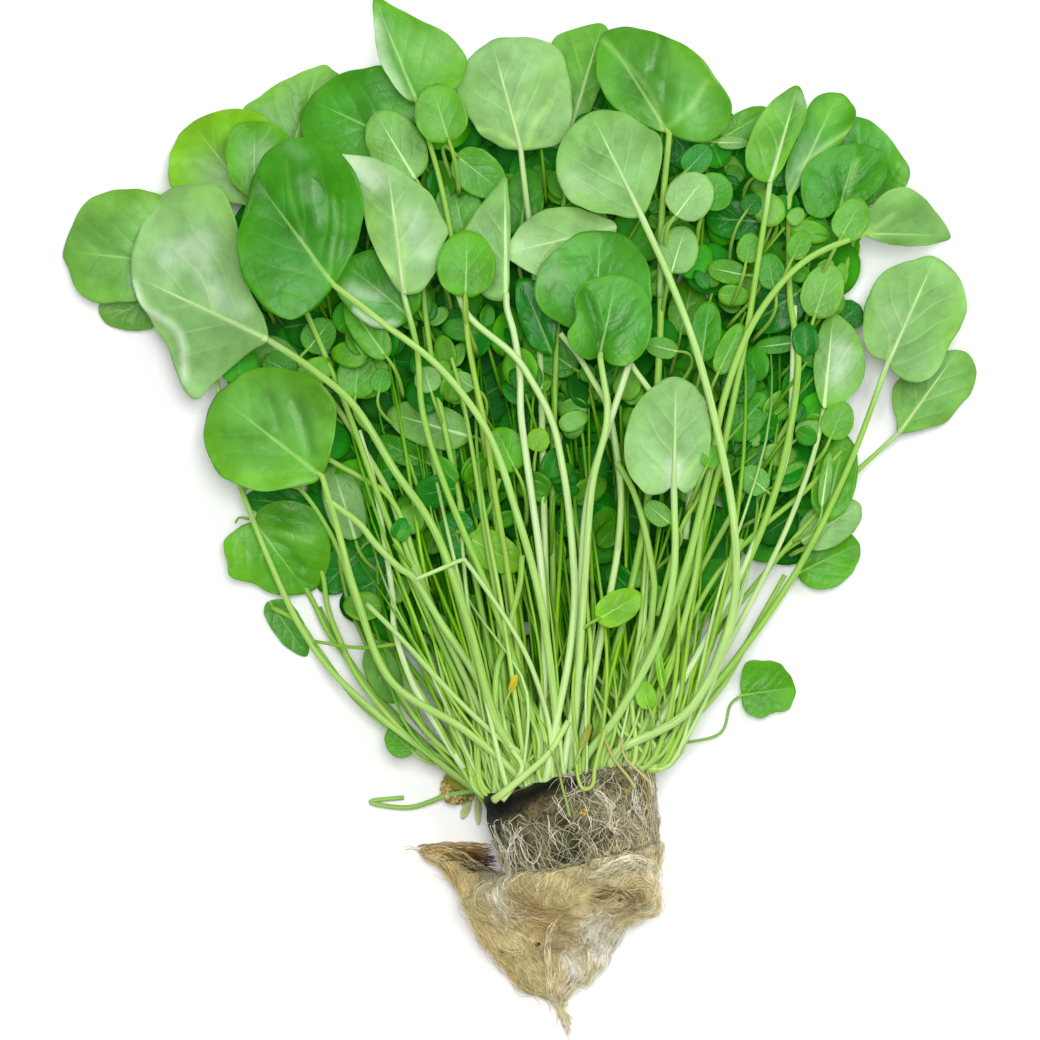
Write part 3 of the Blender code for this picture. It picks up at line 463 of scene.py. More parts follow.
# Each stem from the plug's top face to a blade. across is its place on that face, from the plug's axis
# towards +X, and height is its layer there. route holds the points that it passes on its way.
LOW, MIDDLE, HIGH = 13.5, 21.5, 29.5
STEMS = (
    Stem("left_low", -19.5, LOW,
         ((-26, -56, 13), (-45, -40, 11.5), (-54, -28, 10.5), (-60, -16, 10.5), (-67, 1, 10.5),
          (-72, 16, 10.5), (-79, 48, 10)), 0.9, "#a8d472"),
    Stem("left_pale", -8.5, HIGH,
         ((-6, -50, 31), (-13, -25, 33), (-21, -3, 33), (-31, 12, 32), (-41, 28, 31),
          (-52, 37.5, 28.5)), 1.2, "#a3cf6e"),
    Stem("left_dark", -1.5, HIGH,
         ((8.5, -45, 33), (5, -20, 37), (-1, 2, 39), (-8, 21.5, 39.5), (-20, 37.5, 39),
          (-34, 48.5, 37)), 1.1, "#b0d97c"),
    Stem("upper_left", -15, MIDDLE,
         ((-13, -45, 22), (-31, -5, 20), (-44, 30, 17), (-57, 60, 13)), 0.9, leaf="upper_left_bright"),
    Stem("top_left_dark", -11, MIDDLE,
         ((-5, -45, 22), (-14, 0, 21), (-22, 40, 19), (-26, 75, 17)), 0.9),
    Stem("top_folded", -6.5, MIDDLE,
         ((1, -40, 22), (-6, 0, 22), (-12, 40, 21), (-19, 80, 19.5)), 0.9),
    Stem("centre_left_pale", -5, HIGH,
         ((2, -45, 30), (-7, -20, 30), (-18.5, 8, 30), (-24, 26, 29.5), (-25.5, 42, 29)), 1.0),
    Stem("top_centre_pale", -2, MIDDLE,
         ((7, -40, 22), (6, 0, 21), (5, 40, 15.5), (3, 68, 14.5), (1.5, 80, 18)), 1.0, "#c0e398"),
    Stem("top_centre_back", -1, LOW,
         ((9, -40, 14), (8, 0, 16.5), (9, 40, 17), (10.5, 72, 13.5)), 0.9),
    Stem("top_right_round", 7, MIDDLE,
         ((22, -40, 23), (31, 0, 23.5), (34.5, 40, 23.5), (35, 72, 23.5)), 1.1),
    Stem("centre_right_pale", 13, HIGH,
         ((42, -47, 33), (52, -25, 36), (53, -4, 39), (49.5, 18, 39.5), (44, 40, 38.5), (37.5, 58, 36)),
         1.2, "#b7de88"),
    Stem("right_narrow", 11.5, MIDDLE,
         ((32, -40, 24), (46, 0, 26), (55, 40, 27), (59, 64, 27)), 1.0),
    Stem("right_bright", 15.5, MIDDLE,
         ((38, -44, 22), (53, -18, 22), (64, 9, 22), (69, 37, 22), (67, 56, 18)), 1.1),
    Stem("right_back", 10, LOW,
         ((30, -40, 14), (52, 0, 15), (70, 30, 12), (80, 58, 7.5)), 0.9),
    Stem("right_tip", 10, HIGH,
         ((26, -45, 29), (39, -18, 31.5), (46.5, 10, 33), (50.5, 30, 32), (58, 49, 29), (70, 63.5, 25)),
         1.1, "#a2cf6c"),
    Stem("centre_dark", 2.5, MIDDLE,
         ((15, -45, 23), (22, -20, 26), (25, 5, 28), (22, 28, 28)), 1.0, "#b9dd8f"),
    Stem("centre_round", 2, HIGH,
         ((14, -45, 32), (16, -15, 35), (17.8, 8, 37), (21.5, 25, 37)), 1.1, "#b9df8a"),
    Stem("far_right", 19.5, MIDDLE,
         ((44, -46, 19), (58, -29, 17.5), (71, -9, 17), (82.5, 15, 17)), 1.0),
    Stem("far_right_low", 13.5, LOW,
         ((38, -42, 13.5), (58, -17, 13), (78, 6, 9)), 0.8),
    Stem("front_centre", 5.5, HIGH,
         ((24.5, -48, 33), (34, -30, 36.5), (38, -12, 38.5)), 1.2, "#b2dc80"),
    Stem("left_broad", -12, HIGH,
         ((-14, -52, 29), (-32, -40, 28.5), (-40.5, -19, 28), (-45, -3, 26.5)), 1.1, "#a6d06e"),
    Stem("left_lower", -19.5, MIDDLE,
         ((-24, -52, 19), (-38, -28, 14.5), (-47, -4, 11), (-58, 10, 8.5), (-68.5, 7.5, 8)), 0.7),
    Stem("stray", 19.7, LOW,
         ((40, -56, 6), (50, -53.5, 2.5), (52.5, -46.5, 2.5)), 0.45, "#7fb554"),
    Stem("right_lower", 17.5, LOW,
         ((41, -50, 9), (55, -34, 6), (64, -21, 5.5)), 0.6),
)
# The radius of a large stem of thickness 1 at the plug and at its leaf.
STEM_BASE_RADIUS = 0.98
STEM_TIP_RADIUS = 0.7

# A stem with no blade, which bends back on itself beside the plug.
BENT_STEM = ((-10, -67.5, 8), (-18, -69, 4), (-27, -72, 1.5), (-35, -71.5, 1.2), (-37, -70.4, 1.2),
             (-29, -69.6, 1.2))
BENT_STEM_RADIUS = 0.7

# More stems that show between the large ones: the route on the photograph's plane from the leaves to the
# plug, the height at its ends, the thickness and the colour.
Stalk = namedtuple("Stalk", "route start end radius tint")
STALKS = (
    Stalk(((-16, 58), (-12.5, 50), (-2, 41), (3, 34), (8, 24), (10.5, 13), (12, 3), (13, -8), (13.5, -20),
           (12, -35), (9, -50), (7, -61)), 27, 33, 1.0, "#c6e79c"),
    Stalk(((-3.4, 56), (-3.2, 52), (-1.5, 46), (0, 36), (0.3, 25), (3, 5), (5, -10), (6, -25), (6, -40),
           (5, -60)), 24, 31, 1.0, "#d0ebae"),
    Stalk(((30, 47), (26.7, 37.5), (22.6, 25), (17.8, 10), (15.8, -3), (15, -20), (14, -40), (11, -60)),
          29, 31, 1.0, "#d2edac"),
    Stalk(((10, 46), (14.3, 40.7), (18, 34.5), (21.6, 27.8), (24, 15), (25, 5), (24.5, -5), (23, -15),
           (19, -35), (14, -60)), 25, 28, 0.9, "#c8e89a"),
    Stalk(((24, 45), (27.8, 38), (32.5, 31.5), (38, 24), (42, 10), (41, -5)), 25, 24, 0.85, "#cbe9a0"),
    Stalk(((24, 14), (28, 7), (31, -3), (33, -14), (33, -20), (31, -35), (24, -60)), 30, 27, 0.95, "#a8d370"),
    Stalk(((48, 13), (44, 5), (40, -2), (37, -12), (34, -24)), 31, 28, 0.6, "#9ccb60"),
    Stalk(((45, 0), (44, -10), (42, -20), (36, -40), (26, -61)), 28, 27, 0.9, "#a9d470"),
    Stalk(((75.5, 27.5), (74, 20), (71, 10), (65, -5), (55, -25), (42, -48), (30, -62)),
          17, 24, 0.75, "#c2e09a"),
    Stalk(((68.3, 53), (68, 47), (67.6, 34), (66.7, 18), (62, 3), (55, -13), (46, -30), (36, -48), (28, -62)),
          18, 25, 0.85, "#d6efb6"),
    Stalk(((80, 17), (72, 8), (65, 2), (58, -4), (48, -15), (38, -34), (28, -60)), 12, 26, 0.75, "#9ccb62"),
    Stalk(((66, -14), (57, -30), (50, -42), (40, -53), (32, -62)), 9, 18, 0.8, "#a6d06c"),
    Stalk(((-52, 36), (-45, 27), (-38, 16), (-32, 5), (-28, -8), (-25, -15), (-19, -28), (-11, -45),
           (-3, -64)), 12, 27, 0.9, "#aed47c"),
    Stalk(((-56, 20), (-47, 14.5), (-38, 9.5), (-33, 6), (-29, -1), (-24, -16), (-17, -32), (-8, -50),
           (-2, -63)), 14, 25, 0.8, "#a4cf6a"),
    Stalk(((-48, 5), (-40, -1), (-36, -6), (-30, -12), (-26, -15), (-20, -25), (-12, -37), (-4, -52),
           (0, -62)), 25, 29, 1.0, "#acd678"),
    Stalk(((-40, 22), (-36, 8), (-33, -10), (-31.5, -20), (-31, -28), (-26, -42), (-14, -62)),
          16, 23, 0.8, "#d2ecb2"),
    Stalk(((-54, -4), (-49.5, -13), (-48, -22), (-45, -30), (-40, -40), (-30, -52), (-18, -62), (-9, -68)),
          1.5, 17, 0.8, "#a0cc66"),
    Stalk(((-58, -10), (-52, -20), (-48, -28), (-42, -36), (-34, -47), (-22, -58),
           (-8, -68)), 1.2, 14, 0.8, "#98c660"),
    Stalk(((-38, -21), (-30, -29), (-20, -40), (-10, -50), (0, -58)), 26, 31, 0.75, "#b2d984"),
    Stalk(((-46, -6), (-43, -20), (-37, -34), (-28, -48), (-17, -60), (-9, -68)), 3, 15, 0.6, "#8cbc54"),
    Stalk(((-42, -12), (-40.5, -25), (-34.5, -38), (-25, -50.5), (-14, -62),
           (-7, -68)), 3, 16, 0.55, "#80b44c"),
    Stalk(((-50, -22), (-44, -34), (-36, -44), (-25, -54.5), (-12, -66)), 1.5, 10, 0.55, "#96c45e"),
    Stalk(((-47.5, -26), (-40.5, -38), (-31, -48.5), (-20, -59), (-9, -68)), 1.2, 8, 0.5, "#88ba50"),
    Stalk(((-39, -16), (-37.5, -30), (-31, -42.5), (-22, -53.5), (-12, -63)), 4, 17, 0.6, "#9ac866"),
    Stalk(((-36, -6), (-34.5, -22), (-29, -37), (-19, -52), (-9, -64)), 5, 19, 0.55, "#78ae44"),
    Stalk(((-51, -30.5), (-40, -32), (-30, -31)), 12, 20, 0.5, "#8fc052"),
    Stalk(((-26, -15), (-20, -12.5), (-14.5, -10.2), (-13, -11), (-8, -18), (-2, -27), (3, -37),
           (7, -50), (8, -62)), 36, 33, 0.65, "#bfe092"),
    Stalk(((-5, 10), (-7, 4), (-10, -2), (-11, -4)), 26, 23, 0.6, "#8fc456"),
    Stalk(((0.5, -9), (0, -16), (-2, -24), (-4, -32), (-6, -40), (-6, -62)), 29, 28, 0.9, "#a2cf6a"),
    Stalk(((-17, 40), (-14.5, 31), (-12, 18), (-10, 5), (-8, -8), (-6, -20), (-4, -40), (-2, -62)),
          25, 27, 0.65, "#9fcb66"),
    Stalk(((-13.5, 55), (-13, 45), (-11, 34), (-8.5, 22), (-6, 5), (-2, -20), (2, -60)),
          30, 28, 0.8, "#a4cc60"),
    Stalk(((39, 75), (36, 72), (35, 66), (34.6, 55)), 30, 24.5, 0.7, "#a4cf80"),
    Stalk(((-71, -1), (-70, 0.3), (-67.5, 0)), 6, 7, 0.35, "#8cba5a"),
    Stalk(((-62, -22), (-55, -26), (-50, -33), (-40, -46), (-26, -57), (-9, -69)), 4, 12, 0.75, "#9ac862"),
    Stalk(((55, -5), (51, -18), (45, -32), (36, -46), (24, -60)), 20, 24, 0.9, "#b0d878"),
    Stalk(((13.5, -55), (14, -61), (14.6, -65), (16, -66.8), (18, -65.5), (18.6, -61),
           (21, -52)), 34, 36.5, 0.5, "#a8cc5c"),
    Stalk(((20, -52), (23, -59), (26.5, -63.5), (28.5, -66.5)), 34, 35.5, 0.4, "#b9a868"),
    Stalk(((25, -54), (26, -59), (30, -63), (32, -65)), 33, 33.5, 0.35, "#c3b478"),
    Stalk(((6, -55), (9, -60), (10.4, -66), (11.5, -70), (12.3, -73.5)), 34, 36.8, 0.35, "#8fa04c"),
    Stalk(((-2, -57), (0.5, -61), (-1, -65), (-4.5, -69.5)), 32, 34.5, 0.8, "#c2de8a"),
    Stalk(((12, -50), (7, -58), (1, -63.5), (-4, -67.5)), 33, 35.5, 1.0, "#b8da7e"),
)

# Leaves of middle size: petiole and tip on the photograph's plane, half width, what is seen, colour and
# height.
SPRIGS = (
    Sprig((-33, 40), (-43, 54), 4, YOUNG, GRASS, 22),
    Sprig((-53, 42), (-47, 49.5), 4.2, UNDER, MOSS, 13),
    Sprig((-41, 30), (-40, 42), 5, UPPER, LEAFY, 18),
    Sprig((-56, 36), (-64, 40), 4, UNDER, MOSS, 10),
    Sprig((-50, 34), (-50, 39), 3, UPPER, DUSKY, 15),
    Sprig((-35, 31.5), (-34, 37.5), 2.6, UPPER, MOSS, 19),
    Sprig((-12.5, 20.5), (-33, 26.5), 5.5, UNDER, SAGE, 17),
    Sprig((-24.5, 14.5), (-36, 20), 3.2, UPPER, FOREST, 14),
    Sprig((-22, 31.5), (-24, 37.8), 3.3, UNDER, SOFT, 24),
    Sprig((-11.5, 32.5), (-16.5, 35.8), 2.4, UNDER, SAGE, 21),
    Sprig((-1, 12), (-6, 22.5), 5, YOUNG, GRASS, 26),
    Sprig((4, 16.8), (5, 22.6), 2.9, YOUNG, LIME, 22),
    Sprig((-11, -4), (-21, -4), 6, UPPER, DUSKY, 22),
    Sprig((-13, -4.5), (0.5, -12), 4.8, YOUNG, LIME, 24),
    Sprig((-41, -5), (-47, 14), 5, UNDER, SOFT, 9),
    Sprig((-30, -12), (-44, -20), 6, UPPER, DUSKY, 6),
    Sprig((-14, -24), (-16, -31), 2.4, UPPER, MOSS, 18),
    Sprig((-37, -31.5), (-31, -46), 4.3, UPPER, SAGE, 8),
    Sprig((-26.5, -58), (-33, -52.5), 4, UPPER, GRASS, 12),
    Sprig((39, 41.5), (31, 43.5), 2.6, UNDER, SPRING, 25),
    Sprig((45, 39), (47, 54), 4, UPPER, FOREST, 26),
    Sprig((49, 36), (55, 48.5), 3, UPPER, SPRING, 28),
    Sprig((56, 60.5), (46.5, 62.5), 3, UNDER, GRASS, 20),
    Sprig((37.5, 61), (41, 72.5), 5, UNDER, SOFT, 28),
    Sprig((38.5, 75), (46, 85), 5.8, UNDER, PALE, 31),
    Sprig((46, 77), (50, 85.5), 5, UPPER, MOSS, 27),
    Sprig((41, 86), (47, 92.5), 3.5, YOUNG, DUSKY, 24),
    Sprig((50, 94.5), (62, 102), 3.5, UPPER, SPRING, 14),
    Sprig((49, 93.5), (57, 93.5), 1.6, UNDER, SOFT, 18),
    Sprig((60, 74), (46, 75), 5, UPPER, DEEP, 14),
    Sprig((56, 76), (59, 80.5), 2.6, YOUNG, DUSKY, 19),
    Sprig((64, 75.5), (66.5, 80.5), 2.6, UPPER, DUSKY, 15),
    Sprig((56, 63.5), (57.5, 71), 3, UPPER, GRASS, 24),
    Sprig((63, 57), (61.5, 66), 3.5, UPPER, FOREST, 23),
    Sprig((67.5, 64.5), (71, 71.5), 2.8, UPPER, GRASS, 24),
    Sprig((73, 69.5), (75.5, 74), 2.5, YOUNG, DUSKY, 17),
    Sprig((79.5, 69.5), (85, 79.5), 4.3, YOUNG, SPRING, 21),
    Sprig((73, 50), (77.5, 63.5), 5.2, UPPER, SAGE, 20),
    Sprig((70, 57), (57, 48), 6, UPPER, DEEP, 16),
    Sprig((69, 44), (58, 42.5), 2.2, UNDER, FOREST, 14),
    Sprig((53, 29), (56, 39), 4.5, UPPER, DEEP, 17),
    Sprig((52, 20), (61.5, 31), 4.5, UPPER, FOREST, 17),
    Sprig((80, 49), (84.5, 53.5), 4, UPPER, DEEP, 9),
    Sprig((77, 20), (81, 29), 4, UPPER, SPRING, 19),
    Sprig((69, 20), (75.5, 25.5), 3, UPPER, SAGE, 18),
    Sprig((61, 7), (55, 12.5), 3.6, UNDER, LEAFY, 20),
    Sprig((63, 8), (72, 13), 3, UPPER, GRASS, 16),
    Sprig((76, 0), (81, 21), 5.5, UPPER, GRASS, 14),
    Sprig((75, 3), (77, 17), 1.5, UNDER, SAGE, 17),
    Sprig((70, -5.5), (85, 3.5), 5.5, UNDER, PALE, 9),
    Sprig((46, 12.8), (48.5, 18), 2.4, YOUNG, GRASS, 38),
    Sprig((37, -1), (31, 4), 2.8, UNDER, SAGE, 30),
    Sprig((19, -25), (30, -18.5), 4.2, YOUNG, LIME, 34),
    Sprig((14, 37), (1, 46), 5, UPPER, FOREST, 16),
    Sprig((-17.5, 93.5), (-22, 107.8), 6.5, YOUNG, SPRING, 25),
    Sprig((-26, 84.5), (-36, 101), 7, UNDER, SAGE, 19),
    Sprig((-16, 90.5), (-4, 81), 5.5, UPPER, LEAFY, 18),
    Sprig((-14, 71), (-17, 84), 6, UPPER, LEAFY, 15),
    Sprig((-13.5, 55), (-13, 71.5), 7.3, YOUNG, GRASS, 31),
    Sprig((-20, 60), (-28, 74), 6, UPPER, DUSKY, 12),
    Sprig((0, 70), (2, 88), 5, UPPER, FOREST, 11),
    Sprig((24, 92), (14, 100), 5, UPPER, DUSKY, 9),
    Sprig((38, 96), (44, 88), 5, UPPER, DUSKY, 10),
    Sprig((60, 86), (70, 92), 6, UPPER, DUSKY, 8),
    Sprig((-56, 34), (-66, 45), 5.5, UPPER, SAGE, 6),
    Sprig((-58, 30), (-68, 37), 4.5, UPPER, DUSKY, 5),
    Sprig((-2.5, -43), (-0.8, -38.5), 0.9, YOUNG, STRAW, 33),
    Sprig((32, -47), (30, -40), 2.6, YOUNG, LIME, 33),
    Sprig((35.5, -43), (33.5, -29), 1.0, YOUNG, LIME, 33),
    Sprig((15, -57), (17.5, -50.5), 0.9, YOUNG, OLIVE, 35),
    Sprig((-9, -66), (-19, -64.5), 2.6, YOUNG, OLIVE, 6),
    Sprig((-7, -64), (-14, -61), 2.6, YOUNG, OLIVE, 7),
    Sprig((40, 46), (43.5, 61), 4.5, UPPER, GRASS, 8),
    Sprig((-40, -8), (-50, -18), 5, UPPER, DUSKY, 4),
    Sprig((-52, 3.5), (-69, 5), 3.8, UPPER, DUSKY, 4),
    Sprig((-12.5, -70), (-14.5, -75), 1, UNDER, CREAM, 1.5),
    Sprig((-10.5, -70), (-10.5, -76.5), 0.8, UNDER, CREAM, 1.5),
)

# Middle leaves whose edges a rounded leaf can't follow, as in LEAVES.
ODD_LEAVES = (
    Leaf("glossy", UPPER, MOSS, (-27, 50, 22), (-44, 64, 19),
         ((-31, 47.3), (-36, 47.3), (-41, 50.5), (-45, 55.5), (-46.5, 60)),
         ((-24.5, 54), (-26, 59), (-30, 63.5), (-36, 67)), 0, 0.5, 1),
    Leaf("", UNDER, SOFT, (-3.5, 54.5, 24), (-3.8, 85, 22),
         ((-8, 54.5), (-13, 60), (-15, 68), (-12.5, 74), (-8, 80)),
         ((-2.7, 58), (-2.6, 65), (-2.3, 73), (-2.8, 80)), 0, 0, 0.5),
    Leaf("", UPPER, DUSKY, (8, 41, 20), (0, 60, 19),
         ((4, 42), (1, 46), (-0.8, 52), (-1.2, 57)),
         ((9, 46), (9, 52), (6, 58)), 0, -1.5, 0),
)

# Where the low leaves fill the bunch, as a closed line on the photograph's plane.
FOLIAGE_EDGE = ((-45, -22), (-50, 0), (-54, 12), (-66, 30), (-74, 38), (-74, 58), (-80, 76), (-64, 94),
                (-42, 101), (-18, 104), (4, 110), (22, 108), (40, 104), (62, 100), (84, 94), (88, 78),
                (80, 60), (82, 44), (78, 24), (80, 8), (72, -8), (60, -14), (46, -20), (22, -28),
                (-6, -32), (-28, -30))

# Strokes on the growing plug: an almost black band along its rim, blotches, and the tan felt that laps over
# its end.
PLUG_STROKES = (
    Mark("#8d8c74", 3, 0.6, 0, ((-7, -78), (-5, -87))),
    Mark("#a39d80", 4.5, 0.6, 0, ((21, -66), (25, -77))),
    Mark("#9c8a5c", 2.3, 0.65, 0, ((3, -72), (6.5, -70))),
    Mark("#0d1108", 5.0, 0.99, 0, ((-11, -73.5), (-5, -71.2))),
    Mark("#0d1108", 3.8, 0.99, 0, ((-5, -70.5), (1, -68.5), (8, -65.5))),
    Mark("#2b3324", 2.6, 0.9, 0, ((9.5, -84.5), (14, -81.5), (20, -79.5))),
    Mark("#39402c", 1.7, 0.7, 0, ((-5.5, -78), (-4.5, -84))),
    Mark("#353c2b", 1.6, 0.6, 0, ((1, -79), (3, -84))),
    Mark("#2a2f20", 1.6, 0.7, 0, ((11, -75), (13, -79))),
    Mark("#14180c", 1.4, 0.9, 0.2, ((12, -65.5), (14, -65))),
    Mark("#1d2210", 1.3, 0.8, 0, ((20, -64.5), (24, -66))),
    Mark("#c9b184", 3.2, 0.97, 0, ((19, -86), (26, -82), (36, -77))),
    Mark("#b59a5f", 1.8, 0.85, 0, ((33.5, -62), (34, -72))),
)

# Strokes on the root mat: golden along its left edge, dark brown painted shade in its fold beside the plug
# and in a hollow, bleached where it is a thin web.
MAT_STROKES = (
    Mark("#b0935a", 5, 0.6, -0.4, ((0, -93), (7, -101))),
    Mark("#cdb070", 2, 0.75, 0.5, ((-25, -83), (-18, -87), (-15, -98), (-8, -108), (-4, -114))),
    # Painted shadow beside the plug, under the mat's left wing.
    Mark("#3a260c", 3.4, 0.97, -1.5, ((-12, -84), (-6.5, -87))),
    Mark("#ddd4b8", 2.6, 0.8, 0.2, ((-6.5, -90), (-5, -97))),
    Mark("#e3d9b8", 2.2, 0.85, 0.8, ((19, -88.5), (26, -85), (33, -87), (34, -92))),
    # Painted shade in a hollow.
    Mark("#6f5222", 2.4, 0.85, -2, ((19, -94), (25, -92.5), (29, -93.5))),
    Mark("#fbf8ea", 3.2, 0.98, -1.5, ((18, -101.5), (23.5, -103), (20.5, -108))),
    Mark("#fbfaf4", 2.2, 0.95, -0.8, ((12.5, -109), (13.5, -113))),
    Mark("#c9b383", 2, 0.7, 0.5, ((11, -98), (7.5, -104), (8, -116))),
    Mark("#8b6a33", 1.3, 0.7, 0, ((12.2, -115), (12.5, -118))),
    Mark("#efe6cc", 2.4, 0.9, 0, ((8.5, -119), (12, -130))),
)

# Single roots and bundles of them that stand out: colour, radius, how many lie within how wide a band, and
# the route on the photograph's plane. One that spans lies on the floor between the mat and the plug.
Strand = namedtuple("Strand", "tint radius count band route spans", defaults=(False,))
STRANDS = (
    Strand("#efe8d2", 0.13, 1, 0, ((0.5, -78), (0.1, -80.2), (0.8, -82.5), (3, -85.3), (4.2, -84.7),
                                   (5.3, -82.2), (5.5, -79.7))),
    Strand("#f4efe0", 0.11, 2, 0.4, ((6.9, -73.3), (7.5, -77), (8.6, -79.7), (9.7, -82.2))),
    Strand("#e6dfc6", 0.11, 2, 0.5, ((8, -68.5), (9.7, -71.3), (11.4, -74.1), (12.5, -75.8))),
    Strand("#f1ecdb", 0.11, 4, 0.9, ((0.3, -76.3), (-1.5, -79.1), (-2.8, -81.9), (-2.5, -85.3), (-2.8, -91))),
    Strand("#e4e2d2", 0.11, 4, 0.9, ((-7, -76), (-6.5, -78), (-5, -80.8), (-3.6, -84.1), (-4.5, -92))),
    Strand("#e9e2c8", 0.11, 2, 0.3, ((-4.2, -75.5), (-2.8, -78), (-2.5, -81))),
    Strand("#cfc7a6", 0.1, 2, 0.4, ((-3.3, -75.5), (-1.4, -73.6), (0, -73), (1.9, -74.7))),
    Strand("#f3ecd6", 0.1, 7, 1.6, ((18, -66), (20.5, -68.4), (22.8, -70.8), (21.8, -72.1))),
    Strand("#e6dec2", 0.1, 6, 1.4, ((18.8, -67), (21.5, -70), (22.8, -73.8), (23, -76.4), (25.2, -77.9))),
    Strand("#e9e3cd", 0.1, 5, 1.2, ((26.8, -72.1), (26.8, -74.4), (28.5, -76.4), (30.5, -76.8))),
    Strand("#f2ecd8", 0.11, 2, 0.6, ((17.5, -73.4), (17.5, -75.4), (17.3, -78.1))),
    Strand("#f2ecd8", 0.1, 3, 1.0, ((12.8, -75.4), (14.2, -76.4), (13.5, -77.8))),
    Strand("#dadfd0", 0.12, 8, 1.6, ((28.8, -64), (28.2, -69.1), (29.5, -72.8), (32.2, -77.1))),
    Strand("#b8a66c", 0.12, 10, 2.2, ((30.5, -61.1), (31.2, -66.1), (32.2, -71.1), (34.5, -77.4))),
    Strand("#e6d9b2", 0.15, 9, 1.5, ((11, -97), (7.2, -103.5), (7.3, -112), (7.8, -117.5), (10, -122.3),
                                     (12.2, -129.3))),
    Strand("#d6d3c0", 0.15, 4, 0.8, ((28, -98.5), (26.5, -105), (22, -109.8), (16, -110.5))),
    Strand("#dcd8c4", 0.13, 2, 0.8, ((17, -99), (15.5, -104), (19.5, -108), (23, -104), (21, -99.5))),
    Strand("#ece2c4", 0.17, 14, 3.0, ((17, -90), (22, -86.5), (28, -84.5), (33, -87), (34, -91.5),
                                      (31, -95))),
    Strand("#d9c08a", 0.16, 8, 2.0, ((26, -92), (30, -90.5), (33, -92.5), (31, -95.5), (27, -95.5))),
    Strand("#e2dcc6", 0.1, 14, 4.0, ((-7.5, -88), (-7, -93), (-4.5, -99), (-3.5, -103))),
    Strand("#cbb27a", 0.12, 14, 2.6, ((-25, -82.9), (-18, -86.5), (-15, -97), (-9, -107), (-3, -114))),
    Strand("#b8965a", 0.1, 40, 2.6, ((-25.5, -82.5), (-20, -82.4), (-13, -82.2), (-7, -82.4)), True),
    # This bundle and the next, darker ones, are painted shadow beside the plug, under the mat's left wing.
    Strand("#7d5c26", 0.1, 40, 3.0, ((-20, -84), (-13, -83.6), (-6.3, -83.6)), True),
    Strand("#4f360e", 0.1, 46, 3.6, ((-15, -86), (-10, -85.8), (-5.6, -86.2)), True),
    Strand("#efe6cc", 0.1, 9, 1.3, ((8, -117.5), (9.8, -122.5), (11.8, -127.5), (12.8, -131)), True),
    Strand("#cfc594", 0.1, 24, 2.4, ((-25, -82.6), (-21, -84), (-17, -86)), True),
    Strand("#d8cda8", 0.1, 4, 1.2, ((-24, -83), (-27.5, -82), (-29, -82.2)), True),
)
# How far a root strays from its strand's route.
STRAND_WANDER = 0.35

# Bits of withered leaf and of substrate that are caught in the roots: colour, radius and place.
CRUMBS = (
    ("#c8ae34", 0.6, (15.1, -72.7)), ("#b79f30", 0.55, (16.2, -72)),
    ("#d0b840", 0.5, (16, -73.1)), ("#a8962c", 0.7, (26.3, -67.4)), ("#b8a434", 0.55, (27.2, -66.7)),
    ("#1c160c", 0.75, (4.4, -105.5)),
    ("#3a2a14", 0.5, (24.8, -94.5)), ("#2a2214", 0.45, (-4.5, -108)), ("#2a2f1c", 0.6, (3.2, -75.2)),
    ("#2f2a18", 0.5, (6, -72.5)),
)

# The withered clump beside the plug: how many crumbs, about where, how far they spread and their colours.
CLUMP_COUNT, CLUMP_PLACE, CLUMP_SPREAD = 130, (-15.6, -67.8), (4.4, 3.2)
CLUMP_TINTS = ("#cfb674", "#bba25c", "#aaa44c", "#dcc88c", "#989444", "#c6ae64")

# Guides that the mat's fibres follow, from the plug to the tail.
FIBRE_GUIDES = (
    ((-25.5, -82.8), (-14, -87), (-9, -98), (0, -111), (8, -121), (12, -129.4)),
    ((12, -82), (9, -98), (8, -112), (9.5, -122), (12, -129.4)),
    ((8, -104), (12, -100), (18, -94), (25, -90), (31, -92), (33, -96), (27.5, -98)),
    ((30, -84), (20, -92), (14, -104), (16, -112), (12, -120)),
)

# Where the mat's fibres also cover the plug: below this line.
LAP = ((-12, 4, 14, 21, 34), (-94, -90, -86, -81.5, -76.5))


def linear(colour):
    """The linear red, green and blue of an sRGB colour such as #3c8923."""
    shares = [int(colour[i:i + 2], 16) / 255 for i in (1, 3, 5)]
    return tuple(s / 12.92 if s <= 0.04045 else ((s + 0.055) / 1.055) ** 2.4 for s in shares)


def pigment(colour, sheen=SHEEN):
    """The colour of a skin that looks so under bright light, with what its gloss adds taken off."""
    return tuple(max(share - sheen, 0.003) / LIGHT for share in linear(colour))


class WatercressSizes(bpy.types.PropertyGroup):
    """Sizes of the bunch that a user may change."""

    blade_thickness: FloatProperty(
        name="Blade thickness", description="Thickness of a leaf blade", default=0.28 * MM, unit="LENGTH")
    quilting: FloatProperty(
        name="Quilting", description="Height of the swellings between the side veins, per blade length",
        default=0.0045)
    margin_wave: FloatProperty(
        name="Margin wave", description="How far a blade's edge waves up and down, per blade length",
        default=0.022)
    thin_stems: IntProperty(
        name="Thin stems", description="Thin stems that fan out from the plug", default=290, min=0)
    sprays: IntProperty(
        name="Leaf sprays", description="Sprays of small leaves between the stems", default=130, min=0)
    low_leaves: IntProperty(
        name="Low leaves", description="Leaves at the bottom of the bunch", default=170, min=0)
    mat_fibres: IntProperty(
        name="Mat fibres", description="Fine roots on the mat", default=2600, min=0)
    plug_roots: IntProperty(
        name="Plug roots", description="Pale roots on the plug", default=950, min=0)


